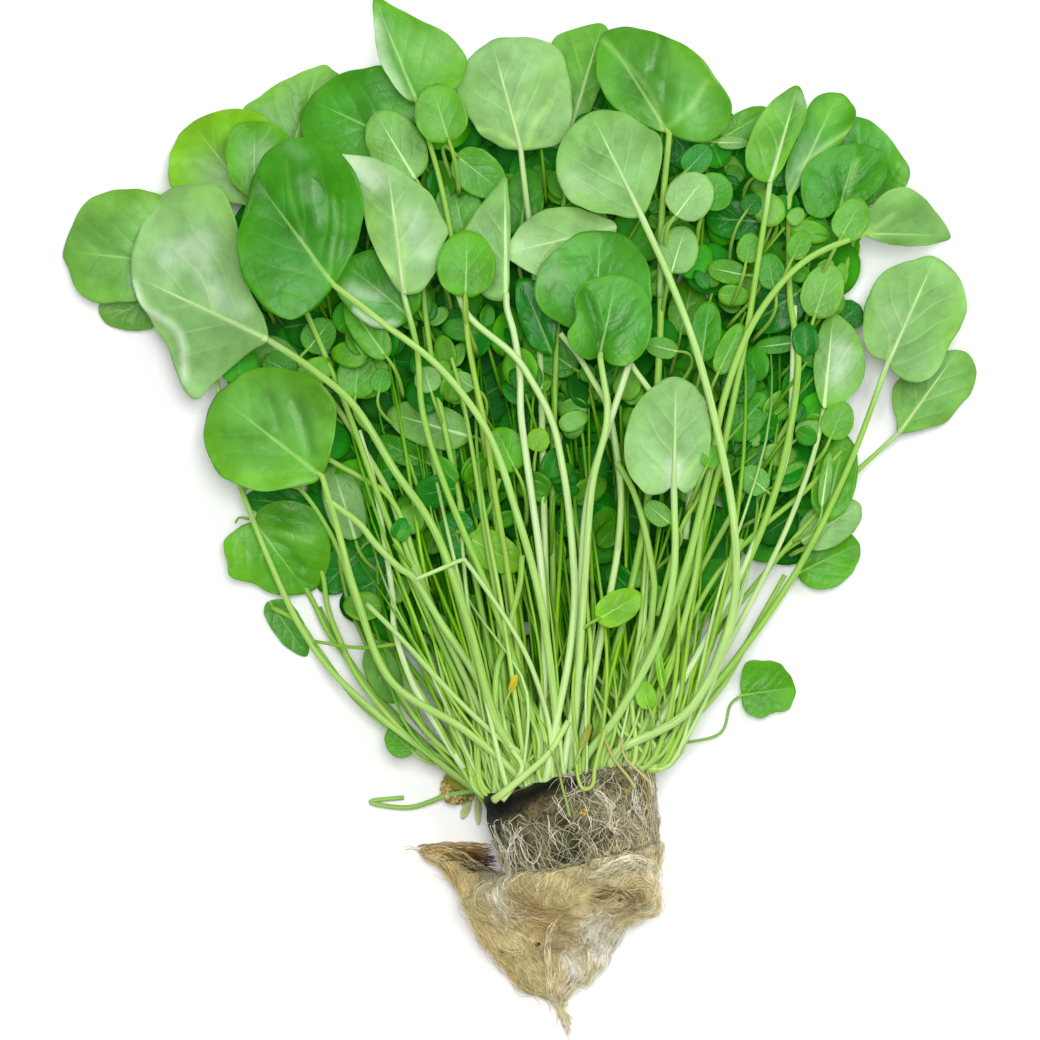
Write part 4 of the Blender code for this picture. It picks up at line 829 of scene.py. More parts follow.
class WatercressColours(bpy.types.PropertyGroup):
    """Colours of the bunch that a user may change."""

    vein: FloatVectorProperty(
        name="Vein", description="Veins of a leaf's upper side", subtype="COLOR", default=linear("#a9d77c"))
    under_vein: FloatVectorProperty(
        name="Underside vein", description="Raised veins of a leaf's underside", subtype="COLOR",
        default=linear("#c3e59a"))
    stem_foot: FloatVectorProperty(
        name="Stem foot", description="Stems where they leave the plug", subtype="COLOR",
        default=linear("#d6e8a4"))
    felt: FloatVectorProperty(
        name="Root felt", description="Matted roots", subtype="COLOR", default=linear("#d2c490"))
    # The colour that is painted as shade between the matted roots.
    felt_shade: FloatVectorProperty(
        name="Root felt, stained", description="Matted roots where they are stained", subtype="COLOR",
        default=linear("#7d6430"))
    plug: FloatVectorProperty(
        name="Plug", description="Growing plug", subtype="COLOR", default=linear("#827f5a"))
    # The colour that is painted as shade in the plug's pits.
    plug_dark: FloatVectorProperty(
        name="Plug, wet", description="Growing plug where it is wet and dark", subtype="COLOR",
        default=linear("#12170a"))
    paper: FloatVectorProperty(
        name="Floor", description="White paper under the bunch", subtype="COLOR", default=linear("#fbfbfb"))


def add(tree, kind, sockets=None, **settings):
    """Adds a node with its settings and gives its sockets their values or links."""
    node = tree.nodes.new("ShaderNode" + kind)
    for name, value in settings.items():
        setattr(node, name, value)
    for name, value in (sockets or {}).items():
        if isinstance(value, bpy.types.Node):
            value = value.outputs[0]
        if isinstance(value, bpy.types.NodeSocket):
            tree.links.new(value, node.inputs[name])
        else:
            node.inputs[name].default_value = value
    return node


def new_material(name):
    """An empty node material with its output, and the node tree."""
    made = bpy.data.materials.new(name)
    made.use_nodes = True
    made.node_tree.nodes.clear()
    return made, made.node_tree


def finish_material(tree, colour, roughness, normal, **settings):
    """Adds the surface shader and the output: a link for colour, roughness and normal, plain values else."""
    sockets = {"Base Color": colour, "Roughness": roughness, "Normal": normal}
    sockets.update({name.replace("_", " "): value for name, value in settings.items()})
    shader = add(tree, "BsdfPrincipled", sockets)
    add(tree, "OutputMaterial", {"Surface": shader})


def rgba(colour):
    return (*colour[:3], 1.0)


def leaf_material(name, layer, vein, gloss, vein_share, relief_mm, shine_level, bluish_sheen, crinkle_mm):
    """A blade's skin: its own tint, mottled, with a pale midrib, side veins and the fine net between them.

    layer is the attribute that holds the blade's tint. relief_mm is how deep the veins are pressed in,
    or how far they stand out where it is negative. crinkle_mm is the height of the soft swellings between,
    and sets how much light and shade are painted on them. bluish_sheen is how strong the painted sheen is
    in its patches.
    """
    made, tree = new_material(name)
    tint = add(tree, "Attribute", attribute_name=layer)
    place = add(tree, "Attribute", attribute_name="Blade")
    row = add(tree, "Attribute", attribute_name="Vein")
    parts = add(tree, "SeparateXYZ", {0: place.outputs["Vector"]})
    across = add(tree, "Math", {0: parts.outputs["X"]}, operation="ABSOLUTE")
    # How far the point is from the nearest side vein: 0 on it, half a step between two.
    nearest = add(tree, "Math", {0: row.outputs["Fac"]}, operation="ROUND")
    apart = add(tree, "Math", {0: row.outputs["Fac"], 1: nearest}, operation="SUBTRACT")
    apart = add(tree, "Math", {0: apart}, operation="ABSOLUTE")
    side = add(tree, "MapRange", {0: apart, 1: 0.015, 2: 0.085, 3: 1.0, 4: 0.0},
               interpolation_type="SMOOTHSTEP")
    fade = add(tree, "MapRange", {0: parts.outputs["Z"], 1: 0.35, 2: 0.95, 3: 1.0, 4: 0.0})
    side = add(tree, "Math", {0: side, 1: fade}, operation="MULTIPLY")
    trough = add(tree, "MapRange", {0: apart, 1: 0.0, 2: 0.22, 3: 1.0, 4: 0.0},
                 interpolation_type="SMOOTHSTEP")
    trough = add(tree, "Math", {0: trough, 1: fade}, operation="MULTIPLY")
    # The midrib, which thins out towards the tip.
    left = add(tree, "Math", {0: 1.12, 1: parts.outputs["Y"]}, operation="SUBTRACT")
    rib = add(tree, "Math", {0: across, 1: left}, operation="DIVIDE")
    rib = add(tree, "MapRange", {0: rib, 1: 0.008, 2: 0.026, 3: 1.0, 4: 0.0}, interpolation_type="SMOOTHSTEP")
    tip = add(tree, "MapRange", {0: parts.outputs["Y"], 1: 0.6, 2: 0.97, 3: 1.0, 4: 0.0})
    rib = add(tree, "Math", {0: rib, 1: tip}, operation="MULTIPLY")
    # The net of fine veins.
    shaken = add(tree, "TexNoise", {"Vector": place.outputs["Vector"], "Scale": 9.0, "Detail": 2.0})
    shaken = add(tree, "VectorMath", {0: shaken.outputs["Color"], 1: (0.09, 0.09, 0.0)}, operation="MULTIPLY")
    shaken = add(tree, "VectorMath", {0: shaken, 1: place.outputs["Vector"]})
    net = add(tree, "TexVoronoi", {"Vector": shaken, "Scale": FINE_VEINS}, feature="DISTANCE_TO_EDGE",
              voronoi_dimensions="2D")
    net = add(tree, "MapRange", {0: net, 1: 0.0, 2: 0.10, 3: 1.0, 4: 0.0}, interpolation_type="SMOOTHSTEP")
    # Tint: cloudy patches, and below a brighter, yellower band towards the edge.
    spot = add(tree, "TexCoord").outputs["Object"]
    clouds = add(tree, "TexNoise", {"Vector": spot, "Scale": 1 / CLOUD_SIZE, "Detail": 3.0})
    cloud = add(tree, "MapRange", {0: clouds, 1: 0.3, 2: 0.7, 3: 0.80, 4: 1.18})
    tinted = add(tree, "HueSaturation", {"Color": tint.outputs["Color"], "Value": cloud})
    # Painted sheen in patches, standing in for the soft light's reflection off the wax: duller and bluer than
    # the bare skin.
    patches = add(tree, "TexNoise", {"Vector": spot, "Scale": 1 / BLUISH_SHEEN_SIZE, "Detail": 1.5})
    patch = add(tree, "MapRange", {0: patches, 1: 0.47, 2: 0.66, 3: 0.0, 4: bluish_sheen})
    waxy = add(tree, "HueSaturation", {"Color": tinted, "Hue": 0.506, "Saturation": 0.84, "Value": 1.20})
    tinted = add(tree, "Mix", {0: patch, 6: tinted, 7: waxy}, data_type="RGBA")
    # Swellings between the stronger veins of the net, with painted light on their tops and painted shade
    # where they meet the net.
    cells = add(tree, "TexVoronoi", {"Vector": shaken, "Scale": SWELLINGS}, feature="DISTANCE_TO_EDGE",
                voronoi_dimensions="2D")
    swell = add(tree, "MapRange", {0: cells, 1: 0.0, 2: 0.28, 3: 0.0, 4: 1.0},
                interpolation_type="SMOOTHSTEP")
    lit = add(tree, "MapRange", {0: swell, 1: 0.0, 2: 1.0, 3: 1 - 0.5 * crinkle_mm, 4: 1 + 0.4 * crinkle_mm})
    tinted = add(tree, "HueSaturation", {"Color": tinted.outputs[2], "Value": lit})
    edge = add(tree, "MapRange", {0: parts.outputs["Z"], 1: 0.55, 2: 1.0, 3: 0.0, 4: 0.55})
    yellow = add(tree, "HueSaturation", {"Color": tinted, "Hue": 0.488, "Saturation": 1.12, "Value": 1.08})
    tinted = add(tree, "Mix", {0: edge, 6: tinted, 7: yellow}, data_type="RGBA")
    # Pale veins over it.
    fine = add(tree, "Math", {0: net, 1: 0.07 * vein_share}, operation="MULTIPLY")
    strong = add(tree, "Math", {0: side, 1: 0.38 * vein_share}, operation="MULTIPLY")
    middle = add(tree, "Math", {0: rib, 1: min(1.9 * vein_share, 1.0)}, operation="MULTIPLY")
    share = add(tree, "Math", {0: strong, 1: middle}, operation="MAXIMUM")
    share = add(tree, "Math", {0: share, 1: fine}, operation="MAXIMUM")
    colour = add(tree, "Mix", {0: share, 6: tinted.outputs[2], 7: rgba(vein)}, data_type="RGBA")
    # Relief: the veins, the net, the grain and the swellings.
    grain = add(tree, "TexNoise", {"Vector": spot, "Scale": 1 / GRAIN_SIZE, "Detail": 2.0})
    lines = add(tree, "Math", {0: trough, 1: rib}, operation="MAXIMUM")
    height = add(tree, "Math", {0: lines, 1: -relief_mm}, operation="MULTIPLY")
    height = add(tree, "Math", {0: net, 1: -0.12 * relief_mm, 2: height}, operation="MULTIPLY_ADD")
    height = add(tree, "Math", {0: grain, 1: 0.03, 2: height}, operation="MULTIPLY_ADD")
    height = add(tree, "Math", {0: swell, 1: crinkle_mm, 2: height}, operation="MULTIPLY_ADD")
    bump = add(tree, "Bump", {"Height": height, "Strength": 0.85, "Distance": 1.0 * MM})
    shine = add(tree, "MapRange", {0: clouds, 1: 0.3, 2: 0.7, 3: gloss - 0.05, 4: gloss + 0.07})
    finish_material(tree, colour.outputs[2], shine, bump, Specular_IOR_Level=shine_level)
    return made


def stem_material(foot):
    """A smooth, juicy stem: whitish where it leaves the plug, greener above, with faint long streaks."""
    made, tree = new_material(STEM_SKIN)
    tint = add(tree, "Attribute", attribute_name="Tint")
    along = add(tree, "Attribute", attribute_name="Run")
    spot = add(tree, "TexCoord").outputs["Object"]
    # Run holds the place round the stem and the millimetres along it, so a streak is long and thin.
    stretched = add(tree, "VectorMath", {0: along.outputs["Vector"], 1: (2.2, 0.035, 1.0)},
                    operation="MULTIPLY")
    streaks = add(tree, "TexNoise", {"Vector": stretched, "Scale": 3.0, "Detail": 3.0})
    shade = add(tree, "MapRange", {0: streaks, 1: 0.32, 2: 0.68, 3: 0.78, 4: 1.26})
    streaked = add(tree, "HueSaturation", {"Color": tint.outputs["Color"], "Saturation": 1.03,
                                           "Value": shade})
    parts = add(tree, "SeparateXYZ", {0: spot})
    pale = add(tree, "MapRange", {0: parts.outputs["Y"], 1: -64 * MM, 2: -34 * MM, 3: 0.16, 4: 0.0})
    colour = add(tree, "Mix", {0: pale, 6: streaked, 7: rgba(foot)}, data_type="RGBA")
    bump = add(tree, "Bump", {"Height": streaks, "Strength": 0.35, "Distance": 0.3 * MM})
    finish_material(tree, colour.outputs[2], 0.3, bump, Specular_IOR_Level=0.15)
    return made


def plug_material(wet):
    """A wet block of fibrous substrate, dull: its painted tones, broken up by blotches, with painted shade in
    its pits.
    """
    made, tree = new_material("Growing plug, wet fibre")
    spot = add(tree, "TexCoord").outputs["Object"]
    tint = add(tree, "Attribute", attribute_name="Tint")
    crumb = add(tree, "TexNoise", {"Vector": spot, "Scale": 1 / (1.1 * MM), "Detail": 4.0,
                                   "Roughness": 0.7})
    blotch = add(tree, "TexNoise", {"Vector": spot, "Scale": 1 / (2.6 * MM), "Detail": 3.0,
                                    "Roughness": 0.6})
    shade = add(tree, "MapRange", {0: blotch, 1: 0.35, 2: 0.65, 3: 0.7, 4: 1.3})
    toned = add(tree, "HueSaturation", {"Color": tint.outputs["Color"], "Value": shade})
    # Painted shade in the pits, where the crumb's relief is low, in the plug's darkest colour.
    pits = add(tree, "MapRange", {0: crumb, 1: 0.38, 2: 0.52, 3: 0.8, 4: 0.0})
    colour = add(tree, "Mix", {0: pits, 6: toned, 7: rgba(wet)}, data_type="RGBA")
    bump = add(tree, "Bump", {"Height": crumb, "Strength": 0.9, "Distance": 0.9 * MM})
    finish_material(tree, colour.outputs[2], 0.8, bump, Specular_IOR_Level=0.12)
    return made


def felt_material(shadowed):
    """Roots matted to a felt: its painted tones, with painted shade between the roots and a fine tangled
    grain.
    """
    made, tree = new_material("Root mat, matted roots")
    spot = add(tree, "TexCoord").outputs["Object"]
    tint = add(tree, "Attribute", attribute_name="Tint")
    tangle = add(tree, "TexNoise", {"Vector": spot, "Scale": 1 / (1.2 * MM), "Detail": 5.0,
                                    "Roughness": 0.7, "Distortion": 1.5})
    shade = add(tree, "MapRange", {0: tangle, 1: 0.35, 2: 0.65, 3: 0.8, 4: 1.25})
    toned = add(tree, "HueSaturation", {"Color": tint.outputs["Color"], "Value": shade})
    # Painted shade where the tangle's relief is low, between the roots.
    dark = add(tree, "MapRange", {0: tangle, 1: 0.33, 2: 0.46, 3: 0.45, 4: 0.0})
    colour = add(tree, "Mix", {0: dark, 6: toned, 7: rgba(shadowed)}, data_type="RGBA")
    bump = add(tree, "Bump", {"Height": tangle, "Strength": 0.8, "Distance": 0.7 * MM})
    finish_material(tree, colour.outputs[2], 0.9, bump, Specular_IOR_Level=0.25)
    return made


def thread_material():
    """Single fine roots, each of its own shade, slightly shiny."""
    made, tree = new_material(FINE_ROOTS)
    tint = add(tree, "Attribute", attribute_name="Tint")
    spot = add(tree, "TexCoord").outputs["Object"]
    knots = add(tree, "TexNoise", {"Vector": spot, "Scale": 1 / (2.5 * MM), "Detail": 1.0})
    shade = add(tree, "MapRange", {0: knots, 1: 0.3, 2: 0.7, 3: 0.85, 4: 1.15})
    colour = add(tree, "HueSaturation", {"Color": tint.outputs["Color"], "Value": shade})
    bump = add(tree, "Bump", {"Height": knots, "Strength": 0.3, "Distance": 0.1 * MM})
    finish_material(tree, colour, 0.5, bump)
    return made


def paper_material(paper):
    """White studio paper: matt, with a grain too faint to see from the camera."""
    made, tree = new_material("Studio paper")
    spot = add(tree, "TexCoord").outputs["Object"]
    grain = add(tree, "TexNoise", {"Vector": spot, "Scale": 1 / (2 * MM), "Detail": 2.0})
    shade = add(tree, "MapRange", {0: grain, 1: 0.3, 2: 0.7, 3: 0.985, 4: 1.0})
    colour = add(tree, "HueSaturation", {"Color": rgba(paper), "Value": shade})
    bump = add(tree, "Bump", {"Height": grain, "Strength": 0.1, "Distance": 0.1 * MM})
    finish_material(tree, colour, 0.9, bump)
    return made


def catmull_rom(points, count):
    """Points at even steps of a smooth curve through the given ones."""
    points = np.asarray(points, float)
    ends = np.vstack((2 * points[0] - points[1], points, 2 * points[-1] - points[-2]))
    place = np.linspace(0, len(points) - 1, count)
    i = np.minimum(place.astype(int), len(points) - 2)
    t = (place - i)[:, None]
    a, b, c, d = (ends[i + k] for k in range(4))
    return 0.5 * (2 * b + (c - a) * t + (2 * a - 5 * b + 4 * c - d) * t**2 + (3 * b - a - 3 * c + d) * t**3)


def smooth_loop(points, tip):
    """A closed smooth curve through points, as a lookup from angles: 0 at points[tip], pi at points[0]."""
    steps = 8
    wrapped = np.vstack((points[-1:], points, points[:2]))
    dense = []
    for i in range(len(points)):
        dense.append(catmull_rom(wrapped[i:i + 4], 3 * steps + 1)[steps:2 * steps])
    dense = np.vstack((*dense, points[:1]))
    run = np.concatenate(((0.0,), np.cumsum(np.hypot(*np.diff(dense, axis=0).T))))
    at_tip, whole = run[tip * steps], run[-1]

    def place(angle):
        back = at_tip * (1 - angle / math.pi)
        ahead = at_tip + (whole - at_tip) * (-angle / math.pi)
        want = np.where(angle >= 0, back, ahead)
        return np.stack([np.interp(want, run, dense[:, k]) for k in (0, 1)], axis=1)

    return place


def ripple(places, size, seed):
    """A smooth uneven value from about -1 to 1 at each place, with hills about as wide as size."""
    dice = np.random.default_rng(seed)
    total = 0.0
    for _ in range(7):
        way = dice.normal(size=places.shape[1])
        way *= dice.uniform(0.7, 1.6) * math.pi / size / np.linalg.norm(way)
        total = total + np.sin(places @ way + dice.uniform(0, 2 * math.pi))
    return total / 3.2


def smoothstep(low, high, value):
    share = np.clip((value - low) / (high - low), 0.0, 1.0)
    return share * share * (3 - 2 * share)


def vein_row(across, along):
    """How far each place is along the row of side veins: a whole number lies on a vein."""
    away = np.abs(across)
    start = (along - VEIN_SLOPE * away - VEIN_BOW * away**2) / (1 + VEIN_FAN * away)
    return (start - FIRST_VEIN) / VEIN_STEP + np.where(across > 0, VEIN_OFFSET, 0.0)


def oval_leaf(sprig, roll=0.0, cup=0.05):
    """A small rounded leaf with a formula for its edge. roll and cup are shares of its half width."""
    base, tip = np.array(sprig.base[:2], float), np.array(sprig.tip[:2], float)
    forward = tip - base
    leftward = np.array((-forward[1], forward[0])) / np.hypot(*forward)
    left, right = [], []
    for share in (0.02, 0.12, 0.28, 0.46, 0.64, 0.80, 0.93):
        half = sprig.half * (4 * share**0.85 * (1 - share**0.85)) ** 0.52
        left.append(tuple(base + forward * share + leftward * half))
        right.append(tuple(base + forward * share - leftward * half))
    drop = min(0.16 * np.hypot(*forward), sprig.height - 1.0)
    return Leaf("", sprig.finish, sprig.tint, (*base, sprig.height), (*tip, sprig.height - drop),
                left, right, roll * sprig.half, cup * sprig.half, 0.05 * np.hypot(*forward))


def blade_points(leaf, square, seed, sizes):
    """Where places in a square from -1 to 1 lie on the blade, their place in blade lengths and vein row."""
    u, v = square.T
    x, y = u * np.sqrt(1 - v**2 / 2), v * np.sqrt(1 - u**2 / 2)
    out, angle = np.minimum(np.hypot(x, y), 1.0), np.arctan2(-x, y)
    base, tip = np.array(leaf.base, float), np.array(leaf.tip, float)
    loop = np.array((base[:2], *leaf.left, tip[:2], *leaf.right[::-1]))
    heart = loop.mean(axis=0)
    edge = smooth_loop(loop, len(leaf.left) + 1)(angle)
    flat = heart + (edge - heart) * out[:, None]
    forward = tip[:2] - base[:2]
    length = np.hypot(*forward)
    forward /= length
    along = (flat - base[:2]) @ forward / length
    across = (flat - base[:2]) @ np.array((-forward[1], forward[0])) / length
    share = across / 0.5
    height = base[2] + (tip[2] - base[2]) * along + leaf.roll * share + leaf.cup * share**2
    height += leaf.fold * np.abs(share) + leaf.arch * 4 * along * (1 - along)
    # Uneven veins, swellings between them, a grooved midrib, a waving edge and a soft overall bend.
    where = np.stack((across, along), axis=1)
    wobble = np.stack((ripple(where, WOBBLE[1], seed), ripple(where, WOBBLE[1], seed + 1)), axis=1)
    bent = where + WOBBLE[0] * wobble
    row = vein_row(bent[:, 0], bent[:, 1])
    side = -1.0 if leaf.finish == UNDER else 1.0
    inner = 1 - smoothstep(0.75, 1.0, out)
    swell = smoothstep(0.0, 0.36, np.abs(row - np.round(row))) - 0.5
    near = smoothstep(0.0, 0.09, np.abs(across))
    height += side * sizes.quilting * length * swell * near * inner
    groove = (1 - near) * (1 - smoothstep(0.7, 1.0, along)) * smoothstep(0, 0.1, out)
    height -= side * MIDRIB_GROOVE * length * groove
    turn = np.stack((np.cos(angle), np.sin(angle)), axis=1)
    height += sizes.margin_wave * length * out**4 * ripple(turn, 0.75, seed + 2)
    height += BEND[0] * length * ripple(where, BEND[1], seed + 3) * out
    height += DENTS[0] * length * ripple(where, DENTS[1], seed + 5)
    height += side * CREASE * length * (np.abs(across) - 0.2)
    flat = flat + (edge - heart) * (NICKS[0] * out**8 * ripple(turn, NICKS[1], seed + 4))[:, None]
    points = np.column_stack((flat, np.maximum(height, BLADE_FLOOR)))
    return points, np.column_stack((across, along, out)), row


def other_side(finish, tint):
    """The tints of a blade's upper side and underside: the seen one, and a darker or a paler one."""
    seen = np.array(pigment(tint))
    if finish == UNDER:
        return seen * (0.42, 0.55, 0.32), seen
    return seen, 0.62 * seen + 0.38 * np.array(linear("#a9d294"))


def add_blade(bm, leaf, cells, seed, sizes):
    """Adds one blade to a mesh, the side that is seen upwards."""
    where, row = bm.verts.layers.float_vector["Blade"], bm.verts.layers.float["Vein"]
    upper, under = bm.verts.layers.float_color["Upper"], bm.verts.layers.float_color["Under"]
    grid = bmesh.ops.create_grid(bm, x_segments=cells, y_segments=cells, size=1.0)["verts"]
    square = np.array([vert.co[:2] for vert in grid])
    points, places, rows = blade_points(leaf, square, seed, sizes)
    upper_tints, under_tints = (np.tile(t, (len(grid), 1)) for t in other_side(leaf.finish, leaf.tint))
    draw_marks(MARKS.get(leaf.name, ()), points, under_tints if leaf.finish == UNDER else upper_tints)
    for i, vert in enumerate(grid):
        vert.co = points[i] * MM
        vert[where] = places[i]
        vert[row] = rows[i]
        vert[upper] = rgba(upper_tints[i])
        vert[under] = rgba(under_tints[i])


def draw_marks(marks, points, tints):
    """Gives a blade's points the lift and the tone of the strokes on it, painted shade and highlights among
    them.
    """
    for mark in marks:
        route = np.array(mark.route, float)
        if len(route) > 2:
            route = catmull_rom(route, 4 * len(route))
        starts, ends = (route[:-1], route[1:]) if len(route) > 1 else (route, route)
        way = ends - starts
        ahead = points[:, None, :2] - starts
        run = np.clip((ahead * way).sum(2) / np.maximum((way**2).sum(1), 1e-9), 0.0, 1.0)
        away = np.linalg.norm(ahead - run[:, :, None] * way, axis=2).min(axis=1)
        share = np.exp(-(away / mark.width) ** 2)[:, None]
        factor, added = TONES.get(mark.tone, (0.0, mark.tone))
        points[:, 2:] += mark.lift * share
        tints += mark.share * share * (tints * factor + np.array(pigment(added, 0.0)) - tints)


def blade_mesh():
    """An empty mesh with the layers that the leaf materials read."""
    bm = bmesh.new()
    bm.verts.layers.float_vector.new("Blade")
    bm.verts.layers.float.new("Vein")
    bm.verts.layers.float_color.new("Upper")
    bm.verts.layers.float_color.new("Under")
    return bm


def place_piece(name, mesh, materials, replaced=()):
    """Links a finished mesh as a piece of the bunch, in place of the CAD nodes it stands for."""
    obj = bpy.data.objects.new(name, mesh)
    bpy.context.scene.collection.objects.link(obj)
    for item in materials:
        mesh.materials.append(item)
    mesh.shade_smooth()
    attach(obj, BODY)
    if replaced:
        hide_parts(*replaced)
    return obj


def finished_mesh(name, bm):
    """The mesh of what was modelled."""
    mesh = bpy.data.meshes.new(name)
    bm.to_mesh(mesh)
    bm.free()
    return mesh


def place_blades(name, bm, finish, sizes, replaced=()):
    """Turns blades into a piece with both its skins."""
    mesh = finished_mesh(name, bm)
    other = UPPER if finish == UNDER else UNDER
    obj = place_piece(name, mesh, [skin(finish), skin(other)], replaced)
    thick = obj.modifiers.new("Thickness", "SOLIDIFY")
    thick.thickness = sizes.blade_thickness
    thick.offset = 0.0
    thick.material_offset = 1
    return obj


# Each kind of skin: its name, the layer with its tint, which vein colour it has, its roughness, how much
# the veins show, their depth in millimetres, its shine, its painted bluish sheen, and its swellings in
# millimetres, which also set the light and shade painted on them.
SKINS = {
    UPPER: ("Watercress leaf, waxy upper side", "Upper", "vein", 0.34, 0.2, 0.06, 0.2, 0.45, 0.05),
    UNDER: ("Watercress leaf, matt underside", "Under", "under_vein", 0.42, 0.42, -0.09, 0.22, 0.5, 0.06),
    YOUNG: ("Watercress leaf, young and thin", "Upper", "vein", 0.38, 0.25, 0.06, 0.22, 0.4, 0.04),
    SMALL: ("Watercress leaf, small and young", "Upper", "vein", 0.40, 0.12, 0.04, 0.2, 0.4, 0.02),
    SHADED: ("Watercress leaf, old and shaded", "Upper", "vein", 0.55, 0.10, 0.04, 0.08, 0.3, 0.02),
}


def skin(kind):
    """The leaf material of that kind, made once."""
    name, layer, vein, *looks = SKINS[kind]
    vein_colour = getattr(bpy.context.scene.watercress_colours, vein)
    return bpy.data.materials.get(name) or leaf_material(name, layer, vein_colour, *looks)


def add_tube(bm, route, radii, sides, tint, rib=None):
    """Adds a closed tube: a grid wrapped round the route, with its ends drawn in to a point.

    rib is the number of points before it runs on as a blade's midrib, or before a thin stem's hidden tip
    is painted in shade, and its colour from there.
    """
    tints, runs = bm.verts.layers.float_color["Tint"], bm.verts.layers.float_vector["Run"]
    route, radii = np.asarray(route, float), np.asarray(radii, float)
    route = np.vstack((route[:1], route, route[-1:]))
    radii = np.concatenate(((0.0,), radii, (0.0,)))
    rings = len(route)
    grid = bmesh.ops.create_grid(bm, x_segments=sides, y_segments=rings - 1, size=1.0)["verts"]
    ahead = np.gradient(route[1:-1], axis=0)
    ahead = np.vstack((ahead[:1], ahead, ahead[-1:]))
    ahead /= np.linalg.norm(ahead, axis=1)[:, None]
    side = np.cross(ahead, (0.0, 0.0, 1.0))
    side /= np.linalg.norm(side, axis=1)[:, None]
    up = np.cross(side, ahead)
    turn = 2 * math.pi * np.arange(sides + 1) / sides
    circle = np.cos(turn)[None, :, None] * side[:, None] + np.sin(turn)[None, :, None] * up[:, None]
    points = (route[:, None] + radii[:, None, None] * circle).reshape(-1, 3) * MM
    gone = np.concatenate(((0.0,), np.cumsum(np.linalg.norm(np.diff(route, axis=0), axis=1))))
    shift = route[0].sum()
    colours = np.tile(STEM_LIGHT * np.array(pigment(tint, STEM_SHEEN)), (rings, 1))
    if rib:
        paler = smoothstep(rib[0] - 6, rib[0] + 2, np.arange(rings))[:, None]
        colours += paler * (STEM_LIGHT * np.array(pigment(rib[1], STEM_SHEEN)) - colours)
    for i, vert in enumerate(grid):
        vert.co = points[i]
        vert[tints] = rgba(colours[i // (sides + 1)])
        vert[runs] = (math.cos(turn[i % (sides + 1)]) + shift, gone[i // (sides + 1)], 0.0)


def tube_mesh():
    """An empty mesh with the layers that the stem material reads."""
    bm = bmesh.new()
    bm.verts.layers.float_color.new("Tint")
    bm.verts.layers.float_vector.new("Run")
    return bm


def place_tubes(name, bm, replaced=()):
    """Closes the seams of the tubes and makes them a piece."""
    bmesh.ops.remove_doubles(bm, verts=bm.verts, dist=1e-7)
    bmesh.ops.recalc_face_normals(bm, faces=bm.faces)
    mesh = finished_mesh(name, bm)
    finish = bpy.data.materials.get(STEM_SKIN)
    if not finish:
        finish = stem_material(bpy.context.scene.watercress_colours.stem_foot)
    return place_piece(name, mesh, [finish], replaced)


def plug_axis():
    """The direction in which the plug's top face looks."""
    lean = math.radians(PLUG_LEAN_DEG)
    return np.array((-math.sin(lean), math.cos(lean)))


def on_plug_top(across, height):
    """A point just off the plug's top face."""
    axis = plug_axis()
    flat = PLUG_TOP + np.array((axis[1], -axis[0])) * across + axis * FACE_GAP
    return np.array((*flat, height))


def joined_tree(objects):
    """One search tree over the faces of several objects."""
    corners, faces = [], []
    for obj in objects:
        shift = len(corners)
        corners += [vert.co.copy() for vert in obj.data.vertices]
        faces += [[i + shift for i in face.vertices] for face in obj.data.polygons]
    return BVHTree.FromPolygons(corners, faces)


def height_seen(tree, place):
    """The height of what is seen at a place from above, in millimetres, or None."""
    hit = tree.ray_cast(Vector((place[0] * MM, place[1] * MM, ABOVE_ALL)), Vector((0, 0, -1)))[0]
    return hit.z / MM if hit else None


def inside(point, edge):
    """Whether a point lies inside a closed line."""
    hit = False
    for (ax, ay), (bx, by) in zip(edge, edge[1:] + edge[:1]):
        if (ay > point[1]) != (by > point[1]) and point[0] < (bx - ax) * (point[1] - ay) / (by - ay) + ax:
            hit = not hit
    return hit


class WATERCRESS_OT_large_leaves(bpy.types.Operator):
    """Models each large leaf in place of its solid"""

    bl_idname = "watercress.large_leaves"
    bl_label = "Large leaves"
    CELLS = 38

    def execute(self, context):
        sizes = context.scene.watercress_sizes
        for number, leaf in enumerate(LEAVES):
            bm = blade_mesh()
            add_blade(bm, leaf, self.CELLS, 10 * number, sizes)
            place_blades("blade_" + leaf.name, bm, leaf.finish, sizes, ["leaf_" + leaf.name])
        return {"FINISHED"}


class WATERCRESS_OT_middle_leaves(bpy.types.Operator):
    """Models the leaves of middle size with their petioles"""

    bl_idname = "watercress.middle_leaves"
    bl_label = "Middle leaves"
    CELLS = 16
    SEED, SPRIG_SEED, ODD_SEED = 3, 1000, 2000
    # The radius of a petiole, and how much more it has for each millimetre of its leaf's half width.
    PETIOLE_RADIUS, PETIOLE_GAIN = 0.35, 0.04

    def execute(self, context):
        sizes = context.scene.watercress_sizes
        dice = random.Random(self.SEED)
        petioles = tube_mesh()
        groups = {finish: blade_mesh() for finish in (UPPER, UNDER, YOUNG)}
        for number, sprig in enumerate(SPRIGS):
            leaf = oval_leaf(sprig)
            add_blade(groups[sprig.finish], leaf, self.CELLS, self.SPRIG_SEED + 10 * number, sizes)
            add_petiole(petioles, leaf, dice, self.PETIOLE_RADIUS + self.PETIOLE_GAIN * sprig.half)
        for number, leaf in enumerate(ODD_LEAVES):
            add_blade(groups[leaf.finish], leaf, self.CELLS, self.ODD_SEED + 10 * number, sizes)
        for finish, bm in groups.items():
            place_blades("middle_leaves_" + finish, bm, finish, sizes)
        place_tubes("middle_petioles", petioles)
        return {"FINISHED"}


PETIOLE_TINT = "#94c05c"
PETIOLE_RINGS = 10
PETIOLE_SIDES = 8
PETIOLE_LENGTHS = (9, 15)

# How far a petiole drops per length, how low its end may come, and the height that it heads for.
PETIOLE_DROP = 0.45
PETIOLE_FLOOR = 2.0
PETIOLE_HOME = 10.0


